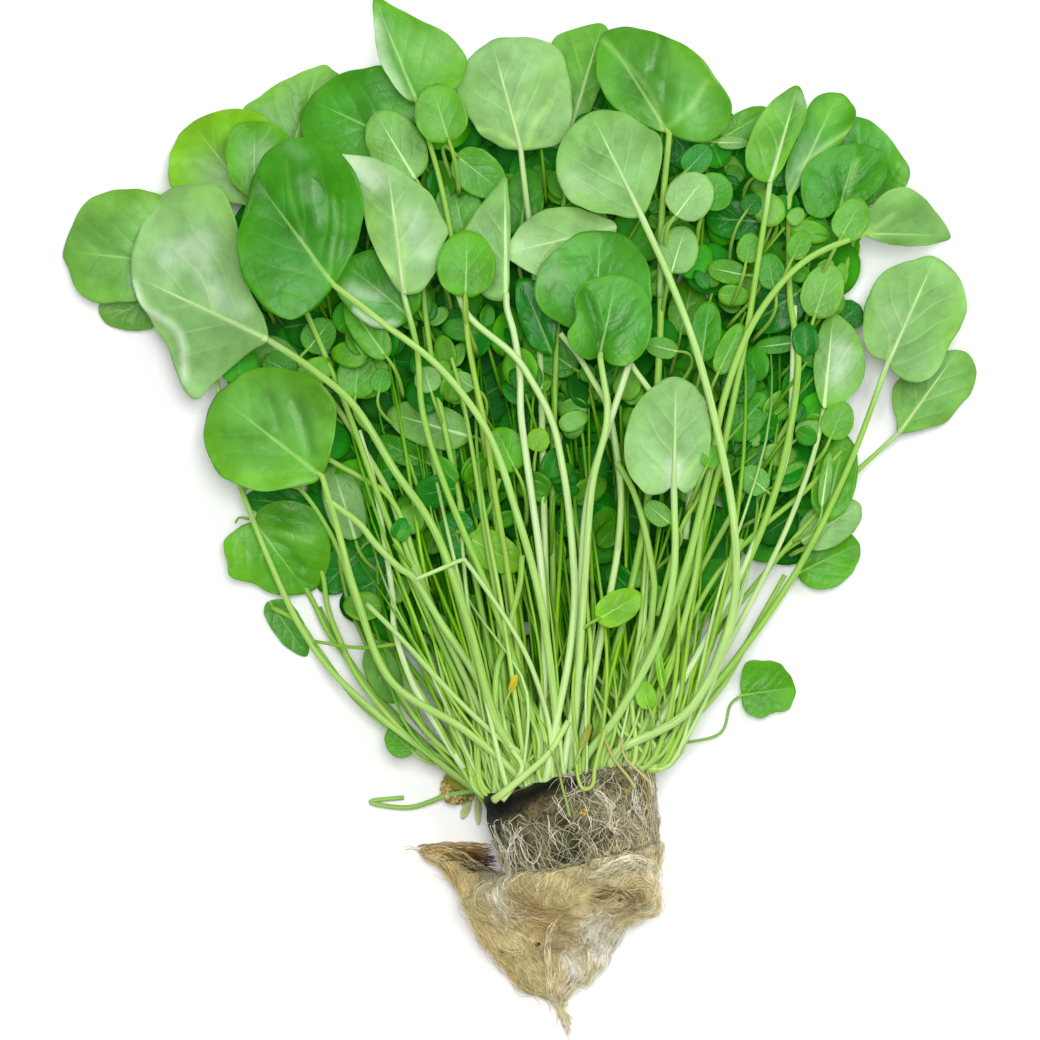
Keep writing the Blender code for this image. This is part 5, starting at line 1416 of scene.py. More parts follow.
def add_petiole(bm, leaf, dice, radius):
    """Adds a short stalk from a blade's base, bending down and back towards the plug."""
    base, tip = np.array(leaf.base, float), np.array(leaf.tip, float)
    back = (base - tip) / np.linalg.norm(base - tip)
    home = np.array((*PLUG_TOP, PETIOLE_HOME)) - base
    home /= np.linalg.norm(home)
    length = dice.uniform(*PETIOLE_LENGTHS)
    low = np.array((0, 0, max(-PETIOLE_DROP * length, PETIOLE_FLOOR - base[2])))
    bend = base + (back + home) * 0.3 * length + 0.4 * low
    route = (base - back * 1.2, base + back * 0.25 * length, bend, base + home * length + low)
    route = catmull_rom(route, PETIOLE_RINGS)
    route[:, 2] = np.maximum(route[:, 2], radius + 0.2)
    radii = np.linspace(0.75 * radius, 1.1 * radius, PETIOLE_RINGS)
    add_tube(bm, route, radii, PETIOLE_SIDES, PETIOLE_TINT)


class WATERCRESS_OT_small_leaves(bpy.types.Operator):
    """Models the low leaves and the sprays of small ones in place of their common solid"""

    bl_idname = "watercress.small_leaves"
    bl_label = "Small leaves"
    # The low leaves' dark, saturated greens are painted shade for leaves that lie deep under the others.
    LOW_TINTS = ("#2a8c08", "#329606", "#33860c", "#40a410", "#4aac14", "#56b226", "#237608")
    SPRAY_TINTS = ("#4a9c28", "#5aa834", "#3a8e1c", "#68b23e", "#72b848", "#5aa440", "#7cbe54", "#2f8414")
    LOW_CELLS, SPRAY_CELLS = 7, 6
    SEED, LOW_SEED, SPRAY_SEED = 11, 3000, 9000
    # A low leaf's length and height in the lowest layer, how much shorter and higher the topmost are, and
    # between which Y the pile rises to that.
    LOW_LENGTHS, SHORTER = (15, 18), 6.5
    LOW_HEIGHT, HIGHER = 2.5, 15
    PILE_RISE = (-30, 10)
    # The half width of a leaf per length, and its roll and cup per half width.
    LOW_WIDTHS, LOW_ROLLS, LOW_CUPS = (0.34, 0.5), (-0.8, 0.8), (-0.1, 0.4)
    SPRAY_WIDTHS, SPRAY_ROLLS, SPRAY_CUPS = (0.26, 0.44), (-0.9, 0.9), (-0.2, 0.5)
    # A spray: its height, how many leaves it has, how long they are, and how far they fan out and up.
    SPRAY_HEIGHTS, SPRAY_LEAVES, SPRAY_LENGTHS = (10, 24), (2, 4), (4.5, 10.5)
    SPRAY_FAN, SPRAY_LIFT = 1.5, 1.5
    # The place that the sprays point away from.
    HOME = (10, -75)
    # The field that the low leaves are spread over, and the step between those of the lowest layer.
    FIELD_X, FIELD_Y = (-75, 90), (-32, 110)
    CARPET_STEP = 8.8
    # How far under a larger blade a leaf stays, and how low it may come.
    LOW_GAP, LOW_FLOOR = 2.0, 1.5
    SPRAY_GAP, SPRAY_FLOOR = 2.5, 2.0
    STALK_TINT = "#76ae40"
    STALK_LENGTH, STALK_RADII = 16, (0.5, 0.35)
    STALK_RINGS, STALK_SIDES = 8, 6

    def execute(self, context):
        sizes = context.scene.watercress_sizes
        dice = random.Random(self.SEED)
        self.roof = joined_tree([obj for obj in bpy.data.objects
                                 if obj.name.startswith(("blade_", "middle_leaves_"))])
        low, spray, stalks = blade_mesh(), blade_mesh(), tube_mesh()
        spots = self.carpet(dice)
        spots += [(self.spot(dice), dice.random()) for _ in range(sizes.low_leaves)]
        for number, (spot, layer) in enumerate(spots):
            length = dice.uniform(*self.LOW_LENGTHS) - self.SHORTER * layer
            for _ in range(6):
                turn = dice.uniform(0, 2 * math.pi)
                tip = (spot[0] + length * math.cos(turn), spot[1] + length * math.sin(turn))
                if inside(tip, FOLIAGE_EDGE):
                    break
            roof = min(self.ceiling(spot), self.ceiling(np.add(spot, tip) / 2), self.ceiling(tip))
            raised = self.HIGHER * layer * smoothstep(*self.PILE_RISE, spot[1])
            height = min(self.LOW_HEIGHT + raised, roof - self.LOW_GAP)
            leaf = oval_leaf(Sprig(spot, tip, length * dice.uniform(*self.LOW_WIDTHS), UPPER,
                                   dice.choice(self.LOW_TINTS), max(height, self.LOW_FLOOR)),
                             dice.uniform(*self.LOW_ROLLS) * layer, dice.uniform(*self.LOW_CUPS) * layer)
            add_blade(low, leaf, self.LOW_CELLS, self.LOW_SEED + 10 * number, sizes)
        for number in range(sizes.sprays):
            self.add_spray(spray, stalks, dice, self.spot(dice), self.SPRAY_SEED + 100 * number, sizes)
        place_blades("low_leaves", low, SHADED, sizes, ["small_leaves"])
        place_blades("leaf_sprays", spray, SMALL, sizes)
        place_tubes("spray_stalks", stalks)
        return {"FINISHED"}

    def ceiling(self, place):
        """The height of the lowest large blade over a place."""
        hit = self.roof.ray_cast(Vector((place[0] * MM, place[1] * MM, 0.0)), Vector((0, 0, 1)))[0]
        return hit.z / MM if hit else OPEN_SKY

    def carpet(self, dice):
        """Places in rows that cover the whole foliage, each moved a little, for the lowest leaves."""
        places = []
        for x in np.arange(*self.FIELD_X, self.CARPET_STEP):
            for y in np.arange(*self.FIELD_Y, self.CARPET_STEP):
                place = (x + dice.uniform(-3, 3), y + dice.uniform(-3, 3))
                if inside(place, FOLIAGE_EDGE):
                    places.append((place, 0.12 * dice.random()))
        return places

    def spot(self, dice):
        """A random place inside the foliage."""
        while True:
            point = (dice.uniform(*self.FIELD_X), dice.uniform(*self.FIELD_Y))
            if inside(point, FOLIAGE_EDGE):
                return point

    def add_spray(self, spray, stalks, dice, spot, seed, sizes):
        """Adds a tuft of two to four small leaves on one thin stalk, fewer at the edge of the foliage."""
        height = min(dice.uniform(*self.SPRAY_HEIGHTS), self.ceiling(spot) - self.SPRAY_GAP)
        heading = math.atan2(spot[1] - self.HOME[1], spot[0] - self.HOME[0]) + dice.uniform(-0.4, 0.4)
        for k in range(dice.randint(*self.SPRAY_LEAVES)):
            turn = heading + dice.uniform(-self.SPRAY_FAN, self.SPRAY_FAN)
            length = dice.uniform(*self.SPRAY_LENGTHS)
            base = (spot[0] + 1.5 * math.cos(turn), spot[1] + 1.5 * math.sin(turn))
            tip = (base[0] + length * math.cos(turn), base[1] + length * math.sin(turn))
            lift = dice.uniform(-self.SPRAY_LIFT, self.SPRAY_LIFT)
            level = min(height + lift, self.ceiling(tip) - self.SPRAY_GAP)
            if not inside(tip, FOLIAGE_EDGE):
                continue
            leaf = oval_leaf(Sprig(base, tip, length * dice.uniform(*self.SPRAY_WIDTHS), YOUNG,
                                   dice.choice(self.SPRAY_TINTS), max(level, self.SPRAY_FLOOR)),
                             dice.uniform(*self.SPRAY_ROLLS), dice.uniform(*self.SPRAY_CUPS))
            add_blade(spray, leaf, self.SPRAY_CELLS, seed + 10 * k, sizes)
        away = np.array((math.cos(heading), math.sin(heading)))
        foot = np.array(spot) - self.STALK_LENGTH * away
        middle = np.add(foot, spot) / 2
        route = ((*foot, max(height - 8, 2)), (*middle, height - 1), (*spot, height))
        route = catmull_rom(route, self.STALK_RINGS)
        if min(self.ceiling(p) - p[2] for p in route) > 1:
            radii = np.linspace(*self.STALK_RADII, self.STALK_RINGS)
            add_tube(stalks, route, radii, self.STALK_SIDES, self.STALK_TINT)


class WATERCRESS_OT_large_stems(bpy.types.Operator):
    """Models each large stem in place of its solid, up to its blade and along the blade's midrib"""

    bl_idname = "watercress.large_stems"
    bl_label = "Large stems"
    RINGS, SIDES = 56, 12
    # How far a stem rises straight from the plug before it bends.
    RISE = 5.0
    # How far along its blade a stem shows as the midrib, in how many rings, and with which colour.
    RIB_SHARE = 0.66
    RIB_RINGS = 14
    # How high the midrib's centre lies over an underside and over an upper side, in radii.
    RIB_OVER, RIB_UNDER = 0.25, -0.75
    RIB_TINTS = {UPPER: "#a8d070", YOUNG: "#a8d46c", UNDER: "#c2e2a0"}
    BENT_TINT = "#8fc062"
    BENT_RINGS, BENT_SIDES = 30, 10

    def execute(self, context):
        leaves = {leaf.name: leaf for leaf in LEAVES}
        for stem in STEMS:
            leaf = leaves[stem.leaf or stem.name]
            start = on_plug_top(stem.across, stem.height)
            rise = np.array((*plug_axis(), 0)) * self.RISE
            root = start - rise * 0.3
            route = [root, start + rise, *stem.route, leaf.base]
            wide, narrow = STEM_BASE_RADIUS * stem.thickness, STEM_TIP_RADIUS * stem.thickness
            path = catmull_rom(route, self.RINGS)
            radii = np.linspace(wide, narrow, self.RINGS)
            path, radii = self.along_midrib(leaf, path, radii)
            bm = tube_mesh()
            add_tube(bm, path, radii, self.SIDES, stem.tint, (self.RINGS, self.RIB_TINTS[leaf.finish]))
            place_tubes("stalk_" + stem.name, bm, ["stem_" + stem.name])
        bm = tube_mesh()
        bent = catmull_rom(BENT_STEM, self.BENT_RINGS)
        radii = np.linspace(BENT_STEM_RADIUS, 0.8 * BENT_STEM_RADIUS, self.BENT_RINGS)
        add_tube(bm, bent, radii, self.BENT_SIDES, self.BENT_TINT)
        place_tubes("stalk_bent", bm, ["stem_bent"])
        return {"FINISHED"}

    def along_midrib(self, leaf, path, radii):
        """Carries a stem on along a midrib, thinning out, over an underside or just under an upper side."""
        tree = joined_tree((bpy.data.objects["blade_" + leaf.name],))
        base, tip = np.array(leaf.base, float), np.array(leaf.tip, float)
        side = self.RIB_OVER if leaf.finish == UNDER else self.RIB_UNDER
        points, widths = [], []
        for share in np.linspace(0.05, self.RIB_SHARE, self.RIB_RINGS):
            flat = base + (tip - base) * share
            level = height_seen(tree, flat)
            if level is None:
                continue
            width = radii[-1] * (1 - share / self.RIB_SHARE) ** 0.8 * 0.8 + 0.08
            points.append((flat[0], flat[1], level + side * width))
            widths.append(width)
        return np.vstack((path, points)), np.concatenate((radii, widths))


class WATERCRESS_OT_small_stems(bpy.types.Operator):
    """Models the stems between the large ones and the many thin ones, in place of their common solid"""

    bl_idname = "watercress.small_stems"
    bl_label = "Small stems"
    # From the lowest layer, deep in the bunch, to the highest: the deeper ones are darker and more saturated,
    # as painted shade under the others.
    TINTS = (("#7ccc24", "#88d430", "#84cc2c", "#74c420"), ("#96d040", "#a0d84c", "#8cc83c", "#a8dc5c"),
             ("#a8d464", "#b6de7a", "#c6e898", "#9ccc54"))
    # The dark green that is painted as shade on a thin stem's hidden tip.
    SHADED_TIP = "#4a9c1c"
    # How far above the plug a stem may end and still be carried on down to it.
    REACH = 8.0
    STALK_SIDES = 10
    # A thin stem's rings and sides, the ring after which its tip is painted in shade, and its thickness at
    # the plug.
    RINGS, SIDES, SHADED_FROM = 22, 7, 18
    RADII = (0.4, 0.85)
    SEED = 5
    # How far to either side of the plug's axis thin stems start, and up to which shares of the pile's
    # height they have the lowest and the middle tints.
    HALF_FAN = 20.5
    LAYERS = (0.4, 0.75)
    # The share of thin stems that run far up, and the Y at which those and the others end.
    LONG_SHARE, LONG_ENDS, SHORT_ENDS = 0.28, (0, 75), (-42, 6)
    # Round which X they fan out, and how far at each Y.
    MIDLINE = 6
    SPREAD = ((-66, -20, 20, 90), (0, 44, 62, 66))

    def execute(self, context):
        bm = tube_mesh()
        for stalk in STALKS:
            count = 5 * len(stalk.route)
            heights = np.linspace(stalk.start, stalk.end, len(stalk.route))
            route = [(*p, h) for p, h in zip(stalk.route, heights)]
            gap = (np.array(stalk.route[-1]) - PLUG_TOP) @ plug_axis() - FACE_GAP
            if FACE_GAP < gap < self.REACH:
                way = np.subtract(stalk.route[-1], stalk.route[-2])
                down = way * gap / abs(way @ plug_axis())
                route.append((*(np.array(stalk.route[-1]) + down), stalk.end - 1.5))
            route = catmull_rom(route, count)
            radii = np.linspace(0.8 * stalk.radius, 1.03 * stalk.radius, count)
            add_tube(bm, route, radii, self.STALK_SIDES, stalk.tint)
        place_tubes("crossing_stalks", bm)
        dice = random.Random(self.SEED)
        bm = tube_mesh()
        for _ in range(context.scene.watercress_sizes.thin_stems):
            self.add_thin_stem(bm, dice)
        place_tubes("thin_stalks", bm, ["small_stems"])
        return {"FINISHED"}

    def add_thin_stem(self, bm, dice):
        """Adds one thin stem from the plug's top face, fanning out into the foliage."""
        across, layer = dice.uniform(-self.HALF_FAN, self.HALF_FAN), dice.random()
        share = across / PLUG_HALF_WIDTH
        roof = PLUG_HEIGHT * (0.5 + 0.42 * math.sqrt(1 - share**2))
        height = PLUG_HEIGHT - roof + 1 + layer * (2 * roof - PLUG_HEIGHT - 1)
        start = on_plug_top(across, height)
        end_y = dice.uniform(*(self.LONG_ENDS if dice.random() < self.LONG_SHARE else self.SHORT_ENDS))
        spread = np.interp(end_y, *self.SPREAD)
        end_x = self.MIDLINE + share * spread * dice.uniform(0.75, 1.08)
        end_x += dice.gauss(0, 13 if dice.random() < 0.25 else 5)
        for _ in range(12):
            if inside((end_x, end_y), FOLIAGE_EDGE):
                break
            end_x, end_y = end_x + 0.08 * (self.MIDLINE - end_x), end_y + 2.5
        end = np.array((end_x, end_y, 1.2 + 2 * layer))
        outward = 10 if share > 0 else 4
        rise = np.array((*plug_axis(), 0)) * 4 + np.array((share * outward, 0, 0))
        way = end - start
        aside = np.array((way[1], -way[0], 0)) / np.linalg.norm(way)
        sway = dice.gauss(0, 2.2), dice.gauss(0, 2.2)
        bow = (0.07 * share + 0.02) * np.linalg.norm(way)
        third = start + way * 0.35 + aside * (bow + sway[0])
        later = start + way * 0.7 + aside * (bow + sway[1])
        third[2], later[2] = height + 1, 0.72 * height + 1
        route = catmull_rom((start - rise * 0.2, start + rise, third, later, end), self.RINGS)
        radius = dice.uniform(*self.RADII)
        route[:, 2] = np.maximum(route[:, 2], radius + 0.3)
        tint = dice.choice(self.TINTS[sum(layer >= limit for limit in self.LAYERS)])
        radii = np.linspace(radius, 0.4 * radius, self.RINGS)
        add_tube(bm, route, radii, self.SIDES, tint, (self.SHADED_FROM, self.SHADED_TIP))


def remeshed(node, cell):
    """A copy of a CAD node's form as one even mesh of small faces."""
    bm = bmesh.new()
    bm.from_mesh(frame["nodes"][node].data)
    bmesh.ops.remove_doubles(bm, verts=bm.verts, dist=1e-6)
    holder = bpy.data.objects.new(node + "_coarse", finished_mesh(node + "_coarse", bm))
    bpy.context.scene.collection.objects.link(holder)
    remesh = holder.modifiers.new("Remesh", "REMESH")
    remesh.mode = "VOXEL"
    remesh.voxel_size = cell
    soft = holder.modifiers.new("Soften", "SMOOTH")
    soft.iterations = 12
    ready = holder.evaluated_get(bpy.context.evaluated_depsgraph_get())
    mesh = bpy.data.meshes.new_from_object(ready)
    bpy.data.objects.remove(holder)
    return mesh


def read_points(mesh, what="co"):
    """A mesh's points in metres, or their normals, one to a row."""
    values = np.empty(3 * len(mesh.vertices))
    mesh.vertices.foreach_get(what, values)
    return values.reshape(-1, 3)


def move_points(mesh, points):
    """Moves a mesh's points to those places, in metres."""
    mesh.vertices.foreach_set("co", points.ravel())
    mesh.update()


def store_tints(mesh, tints):
    """Keeps a tint for each point of a mesh, for its material to read."""
    layer = mesh.color_attributes.new("Tint", "FLOAT_COLOR", "POINT")
    layer.data.foreach_set("color", np.column_stack((tints, np.ones(len(tints)))).ravel())


def roughen(mesh, hills, lowest):
    """Moves a mesh's points along their normals by hills, each given as (size, height, seed) in mm."""
    points, normals = read_points(mesh) / MM, read_points(mesh, "normal")
    lift = sum(height * ripple(points, size, seed) for size, height, seed in hills)
    points += normals * lift[:, None]
    points[:, 2] = np.maximum(points[:, 2], lowest)
    move_points(mesh, points * MM)


def paint(mesh, own, strokes):
    """Gives a mesh its own colour and the tones and lifts of the strokes on it."""
    points = read_points(mesh) / MM
    tints = painted(points, own, strokes)
    points[:, 2] = np.maximum(points[:, 2], SOLID_FLOOR)
    move_points(mesh, points * MM)
    store_tints(mesh, tints)


def painted(points, own, strokes):
    """The tints of places on a surface with strokes on it."""
    uneven = 1 + 0.14 * ripple(points, 9, 40)[:, None]
    tints = np.array(own[:3]) / LIGHT * uneven
    draw_marks(strokes, points, tints)
    return tints


class WATERCRESS_OT_plug(bpy.types.Operator):
    """Models the growing plug in place of its solid"""

    bl_idname = "watercress.plug"
    bl_label = "Growing plug"
    CELL = 0.8 * MM
    HILLS = ((6, 0.5, 1), (2.2, 0.35, 2))
    # How far the rim stands up round the stems' feet.
    RIM_RISE = 2.2

    def execute(self, context):
        colours = context.scene.watercress_colours
        mesh = remeshed("growing_plug", self.CELL)
        self.raise_rim(mesh)
        roughen(mesh, self.HILLS, 0.0)
        paint(mesh, colours.plug, PLUG_STROKES)
        finish = plug_material(colours.plug_dark)
        place_piece("plug_body", mesh, [finish], ["growing_plug"])
        return {"FINISHED"}

    def raise_rim(self, mesh):
        """Draws the plug's end out to the rim that stands round the stems' feet."""
        points = read_points(mesh)
        below = (PLUG_TOP - points[:, :2] / MM) @ plug_axis()
        rise = self.RIM_RISE * MM * (1 - smoothstep(0.5, 9.0, below))
        points[:, :2] += rise[:, None] * plug_axis()
        move_points(mesh, points)


class WATERCRESS_OT_root_mat(bpy.types.Operator):
    """Models the felt of roots under the plug in place of its solid"""

    bl_idname = "watercress.root_mat"
    bl_label = "Root mat"
    CELL = 0.7 * MM
    HILLS = ((11, 0.8, 5), (4.5, 0.5, 6), (1.8, 0.22, 7))

    def execute(self, context):
        colours = context.scene.watercress_colours
        mesh = remeshed("root_mat", self.CELL)
        roughen(mesh, self.HILLS, SOLID_FLOOR)
        paint(mesh, colours.felt, MAT_STROKES)
        finish = felt_material(colours.felt_shade)
        place_piece("mat_body", mesh, [finish], ["root_mat"])
        return {"FINISHED"}


def surface_seeds(obj, count, dice):
    """Random points spread evenly over an object's faces, in millimetres, with the faces' normals."""
    mesh = obj.data
    mesh.calc_loop_triangles()
    corners = np.array([[mesh.vertices[i].co for i in t.vertices] for t in mesh.loop_triangles]) / MM
    normal = np.cross(corners[:, 1] - corners[:, 0], corners[:, 2] - corners[:, 0])
    area = np.linalg.norm(normal, axis=1)
    chosen = dice.choice(len(corners), size=count, p=area / area.sum())
    a, b = dice.random(count), dice.random(count)
    a, b = np.where(a + b > 1, 1 - a, a), np.where(a + b > 1, 1 - b, b)
    tri = corners[chosen]
    points = tri[:, 0] + a[:, None] * (tri[:, 1] - tri[:, 0]) + b[:, None] * (tri[:, 2] - tri[:, 0])
    return points, normal[chosen] / area[chosen, None]


def guide_way(place):
    """The way in which the mat's fibres run near a place, from the guides around it."""
    total = np.zeros(2)
    for guide in FIBRE_GUIDES:
        line = np.array(guide, float)
        mid, way = (line[1:] + line[:-1]) / 2, np.diff(line, axis=0)
        weight = 1 / (((mid - place[:2]) ** 2).sum(axis=1) + 4)
        total += (weight[:, None] * way / np.linalg.norm(way, axis=1)[:, None] * weight[:, None]).sum(axis=0)
    return total / max(np.linalg.norm(total), 1e-9)


def combed(tree, start, normal, way, steps, step, wander, lift, dice):
    """A fibre that creeps over the surface from a start, in millimetres, with the normals along it."""
    place, points, normals = start.copy(), [], []
    sway = dice.normal(size=2) * wander
    for _ in range(steps):
        found, found_normal, _, _ = tree.find_nearest(Vector(place * MM))
        normal = np.array(found_normal)
        surface = np.array(found) / MM
        rise = lift * (0.6 + 0.5 * math.sin(len(points) * 0.9 + sway[0]))
        points.append(surface + normal * max(rise, 0.06))
        normals.append(normal)
        ahead = np.array((*way(place), 0.0))
        sway = 0.75 * sway + dice.normal(size=2) * wander * 0.5
        ahead = ahead + np.array((ahead[1], -ahead[0], 0)) * sway[0]
        ahead = ahead - normal * (ahead @ normal)
        size = np.linalg.norm(ahead)
        if size < 1e-6:
            ahead, size = np.array((0.0, 0.0, -1.0)), 1.0
        place = surface + ahead / size * step
    return np.array(points), np.array(normals)


def thread_mesh(name, threads):
    """Joins threads, each (points, normals, radius, tint), as thin three-sided tubes in one mesh."""
    points, faces, tints, count = [], [], [], 0
    angles = 2 * math.pi * np.arange(3) / 3
    for path, normals, radius, tint in threads:
        rings = len(path)
        ahead = np.gradient(path, axis=0)
        side = np.cross(ahead, normals)
        side /= np.maximum(np.linalg.norm(side, axis=1), 1e-9)[:, None]
        up = np.cross(side, ahead)
        up /= np.maximum(np.linalg.norm(up, axis=1), 1e-9)[:, None]
        thin = radius * np.minimum(1.0, 0.35 + 3 * (1 - np.linspace(0, 1, rings)))
        round_ = np.cos(angles)[None, :, None] * side[:, None] + np.sin(angles)[None, :, None] * up[:, None]
        points.append((path[:, None] + thin[:, None, None] * round_).reshape(-1, 3))
        first = count + 3 * np.arange(rings - 1)[:, None] + np.arange(3)
        after = count + 3 * np.arange(rings - 1)[:, None] + (np.arange(3) + 1) % 3
        faces += np.stack((first, after, after + 3, first + 3), axis=2).reshape(-1, 4).tolist()
        faces.append((count + 2, count + 1, count))
        count += 3 * rings
        faces.append((count - 3, count - 2, count - 1))
        tints.append(np.tile(tint, (3 * rings, 1)))
    mesh = bpy.data.meshes.new(name)
    mesh.from_pydata((np.vstack(points) * MM).tolist(), [], faces)
    store_tints(mesh, np.vstack(tints))
    return mesh


def thread_finish():
    """The material of fine roots, made once."""
    return bpy.data.materials.get(FINE_ROOTS) or thread_material()


class WATERCRESS_OT_mat_fibres(bpy.types.Operator):
    """Models the fine roots that the mat is made of, which lap over the plug's end"""

    bl_idname = "watercress.mat_fibres"
    bl_label = "Mat fibres"
    STEPS, STEP, WANDER = 10, 1.35, 0.45
    # The share of fibres that stand off the mat, and how thin those are.
    LOOSE_SHARE, LOOSE_RADIUS = 0.14, 0.055
    RADII = (0.06, 0.11)
    # How high the loose and the other fibres lie, and how much darker or lighter than the mat they are.
    LOOSE_LIFTS, LIFTS = (0.7, 2.2), (0.1, 0.6)
    SHADES = (0.8, 1.5)
    SEED = 21
    # The blue share of a tint above which the mat is a thin web of few fibres.
    BLEACHED = 0.45
    # The share of fibres that are left out there.
    THINNED = 0.6

    def execute(self, context):
        dice = np.random.default_rng(self.SEED)
        mat, plug = bpy.data.objects["mat_body"], bpy.data.objects["plug_body"]
        tree = joined_tree((mat, plug))
        count = context.scene.watercress_sizes.mat_fibres
        starts, normals = surface_seeds(mat, count, dice)
        more, more_normals = surface_seeds(plug, count // 4, dice)
        lapped = more[:, 1] < np.interp(more[:, 0], *LAP)
        starts, normals = np.vstack((starts, more[lapped])), np.vstack((normals, more_normals[lapped]))
        # The fibres take the mat's painted tones, with its painted shadow beside the plug and painted shade
        # in its hollow.
        tints = painted(starts.copy(), context.scene.watercress_colours.felt, MAT_STROKES)
        threads = []
        for start, normal, tint in zip(starts, normals, tints):
            shade = dice.uniform(*self.SHADES)
            loose = dice.random() < self.LOOSE_SHARE
            lift = dice.uniform(*(self.LOOSE_LIFTS if loose else self.LIFTS))
            path, ups = combed(tree, start, normal, guide_way, self.STEPS, self.STEP, self.WANDER, lift, dice)
            path[:, 2] = np.maximum(path[:, 2], FIBRE_FLOOR)
            radius = self.LOOSE_RADIUS if loose else dice.uniform(*self.RADII)
            if tint.min() > self.BLEACHED and dice.random() < self.THINNED:
                continue
            threads.append((path, ups, radius, np.minimum(tint * shade * LIGHT, 0.9)))
        place_piece("mat_fibres", thread_mesh("mat_fibres", threads), [thread_finish()])
        return {"FINISHED"}


class WATERCRESS_OT_plug_roots(bpy.types.Operator):
    """Models the pale roots that run down over the plug and onto the mat"""

    bl_idname = "watercress.plug_roots"
    bl_label = "Plug roots"
    TINTS = ("#d8d2b4", "#c4bc96", "#ece6d0", "#a8a07a", "#b8b08a", "#8f8a68")
    STEPS, STEP, WANDER = 14, 1.35, 0.7
    LIFTS, RADII, LEAN = (0.15, 0.9), (0.05, 0.12), 0.5
    SEED = 31
    # The almost black rim has few roots: how far it reaches down from the top face, and as far to the right
    # as this.
    RIM, RIM_END = 4.5, 9.0
    # A strand of more roots than this frays, by up to this share of its length at either end.
    THICK, FRAY = 6, 0.3
    # Below this height a strand has run off the surface, and ends unless it spans a gap.
    EDGE = 1.0

    def execute(self, context):
        dice = np.random.default_rng(self.SEED)
        plug, mat = bpy.data.objects["plug_body"], bpy.data.objects["mat_body"]
        tree = joined_tree((plug, mat))
        starts, normals = surface_seeds(plug, context.scene.watercress_sizes.plug_roots, dice)
        down = -plug_axis()
        threads = []
        for start, normal in zip(starts, normals):
            tint = linear(self.TINTS[dice.integers(len(self.TINTS))])
            lean = dice.normal() * self.LEAN
            lift, radius = dice.uniform(*self.LIFTS), dice.uniform(*self.RADII)
            if (start[:2] - PLUG_TOP) @ down < self.RIM and start[0] < self.RIM_END:
                continue

            def way(place, lean=lean):
                swirl = lean + 0.8 * math.sin(0.35 * place[1] + 7 * lean)
                return down + swirl * np.array((-down[1], down[0]))

            path, ups = combed(tree, start, normal, way, self.STEPS, self.STEP, self.WANDER, lift, dice)
            path[:, 2] = np.maximum(path[:, 2], ROOT_FLOOR)
            threads.append((path, ups, radius, tint))
        for strand in STRANDS:
            threads += self.bundle(tree, strand, dice)
        place_piece("plug_roots", thread_mesh("plug_roots", threads), [thread_finish()])
        return {"FINISHED"}

    def bundle(self, tree, strand, dice):
        """The roots of a strand, laid over the surface from above."""
        threads = []
        for _ in range(strand.count):
            flat = catmull_rom(strand.route, 6 * len(strand.route))
            aside = dice.uniform(-0.5, 0.5) * strand.band
            ahead = np.gradient(flat, axis=0)
            ahead /= np.linalg.norm(ahead, axis=1)[:, None]
            wander = STRAND_WANDER * ripple(flat, 3.0, int(dice.integers(1000)))
            flat = flat + np.stack((ahead[:, 1], -ahead[:, 0]), axis=1) * (aside + wander)[:, None]
            if strand.count > self.THICK:
                fray = dice.uniform(0, self.FRAY, 2) * len(flat)
                flat = flat[int(fray[0]):len(flat) - int(fray[1])]
            heights = np.array([drape(tree, place) for place in flat])
            if not strand.spans and heights.min() < self.EDGE:
                ends = int(np.argmax(heights < self.EDGE))
                flat, heights = flat[:ends], heights[:ends]
            if len(flat) < 4:
                continue
            eased = np.convolve(np.pad(heights, 3, "edge"), np.ones(7) / 7, "valid")
            level = np.maximum(heights, eased) + strand.radius + dice.uniform(0.1, 0.6)
            path = np.column_stack((flat, level))
            tint = np.minimum(np.array(linear(strand.tint)) * dice.uniform(0.8, 1.1), 0.9)
            threads.append((path, np.tile((0.0, 0.0, 1.0), (len(path), 1)), strand.radius, tint))
        return threads


def drape(tree, place):
    """The height in millimetres for what lies on a surface at a place, or on the floor beside it."""
    level = height_seen(tree, place)
    return ON_FLOOR if level is None else level


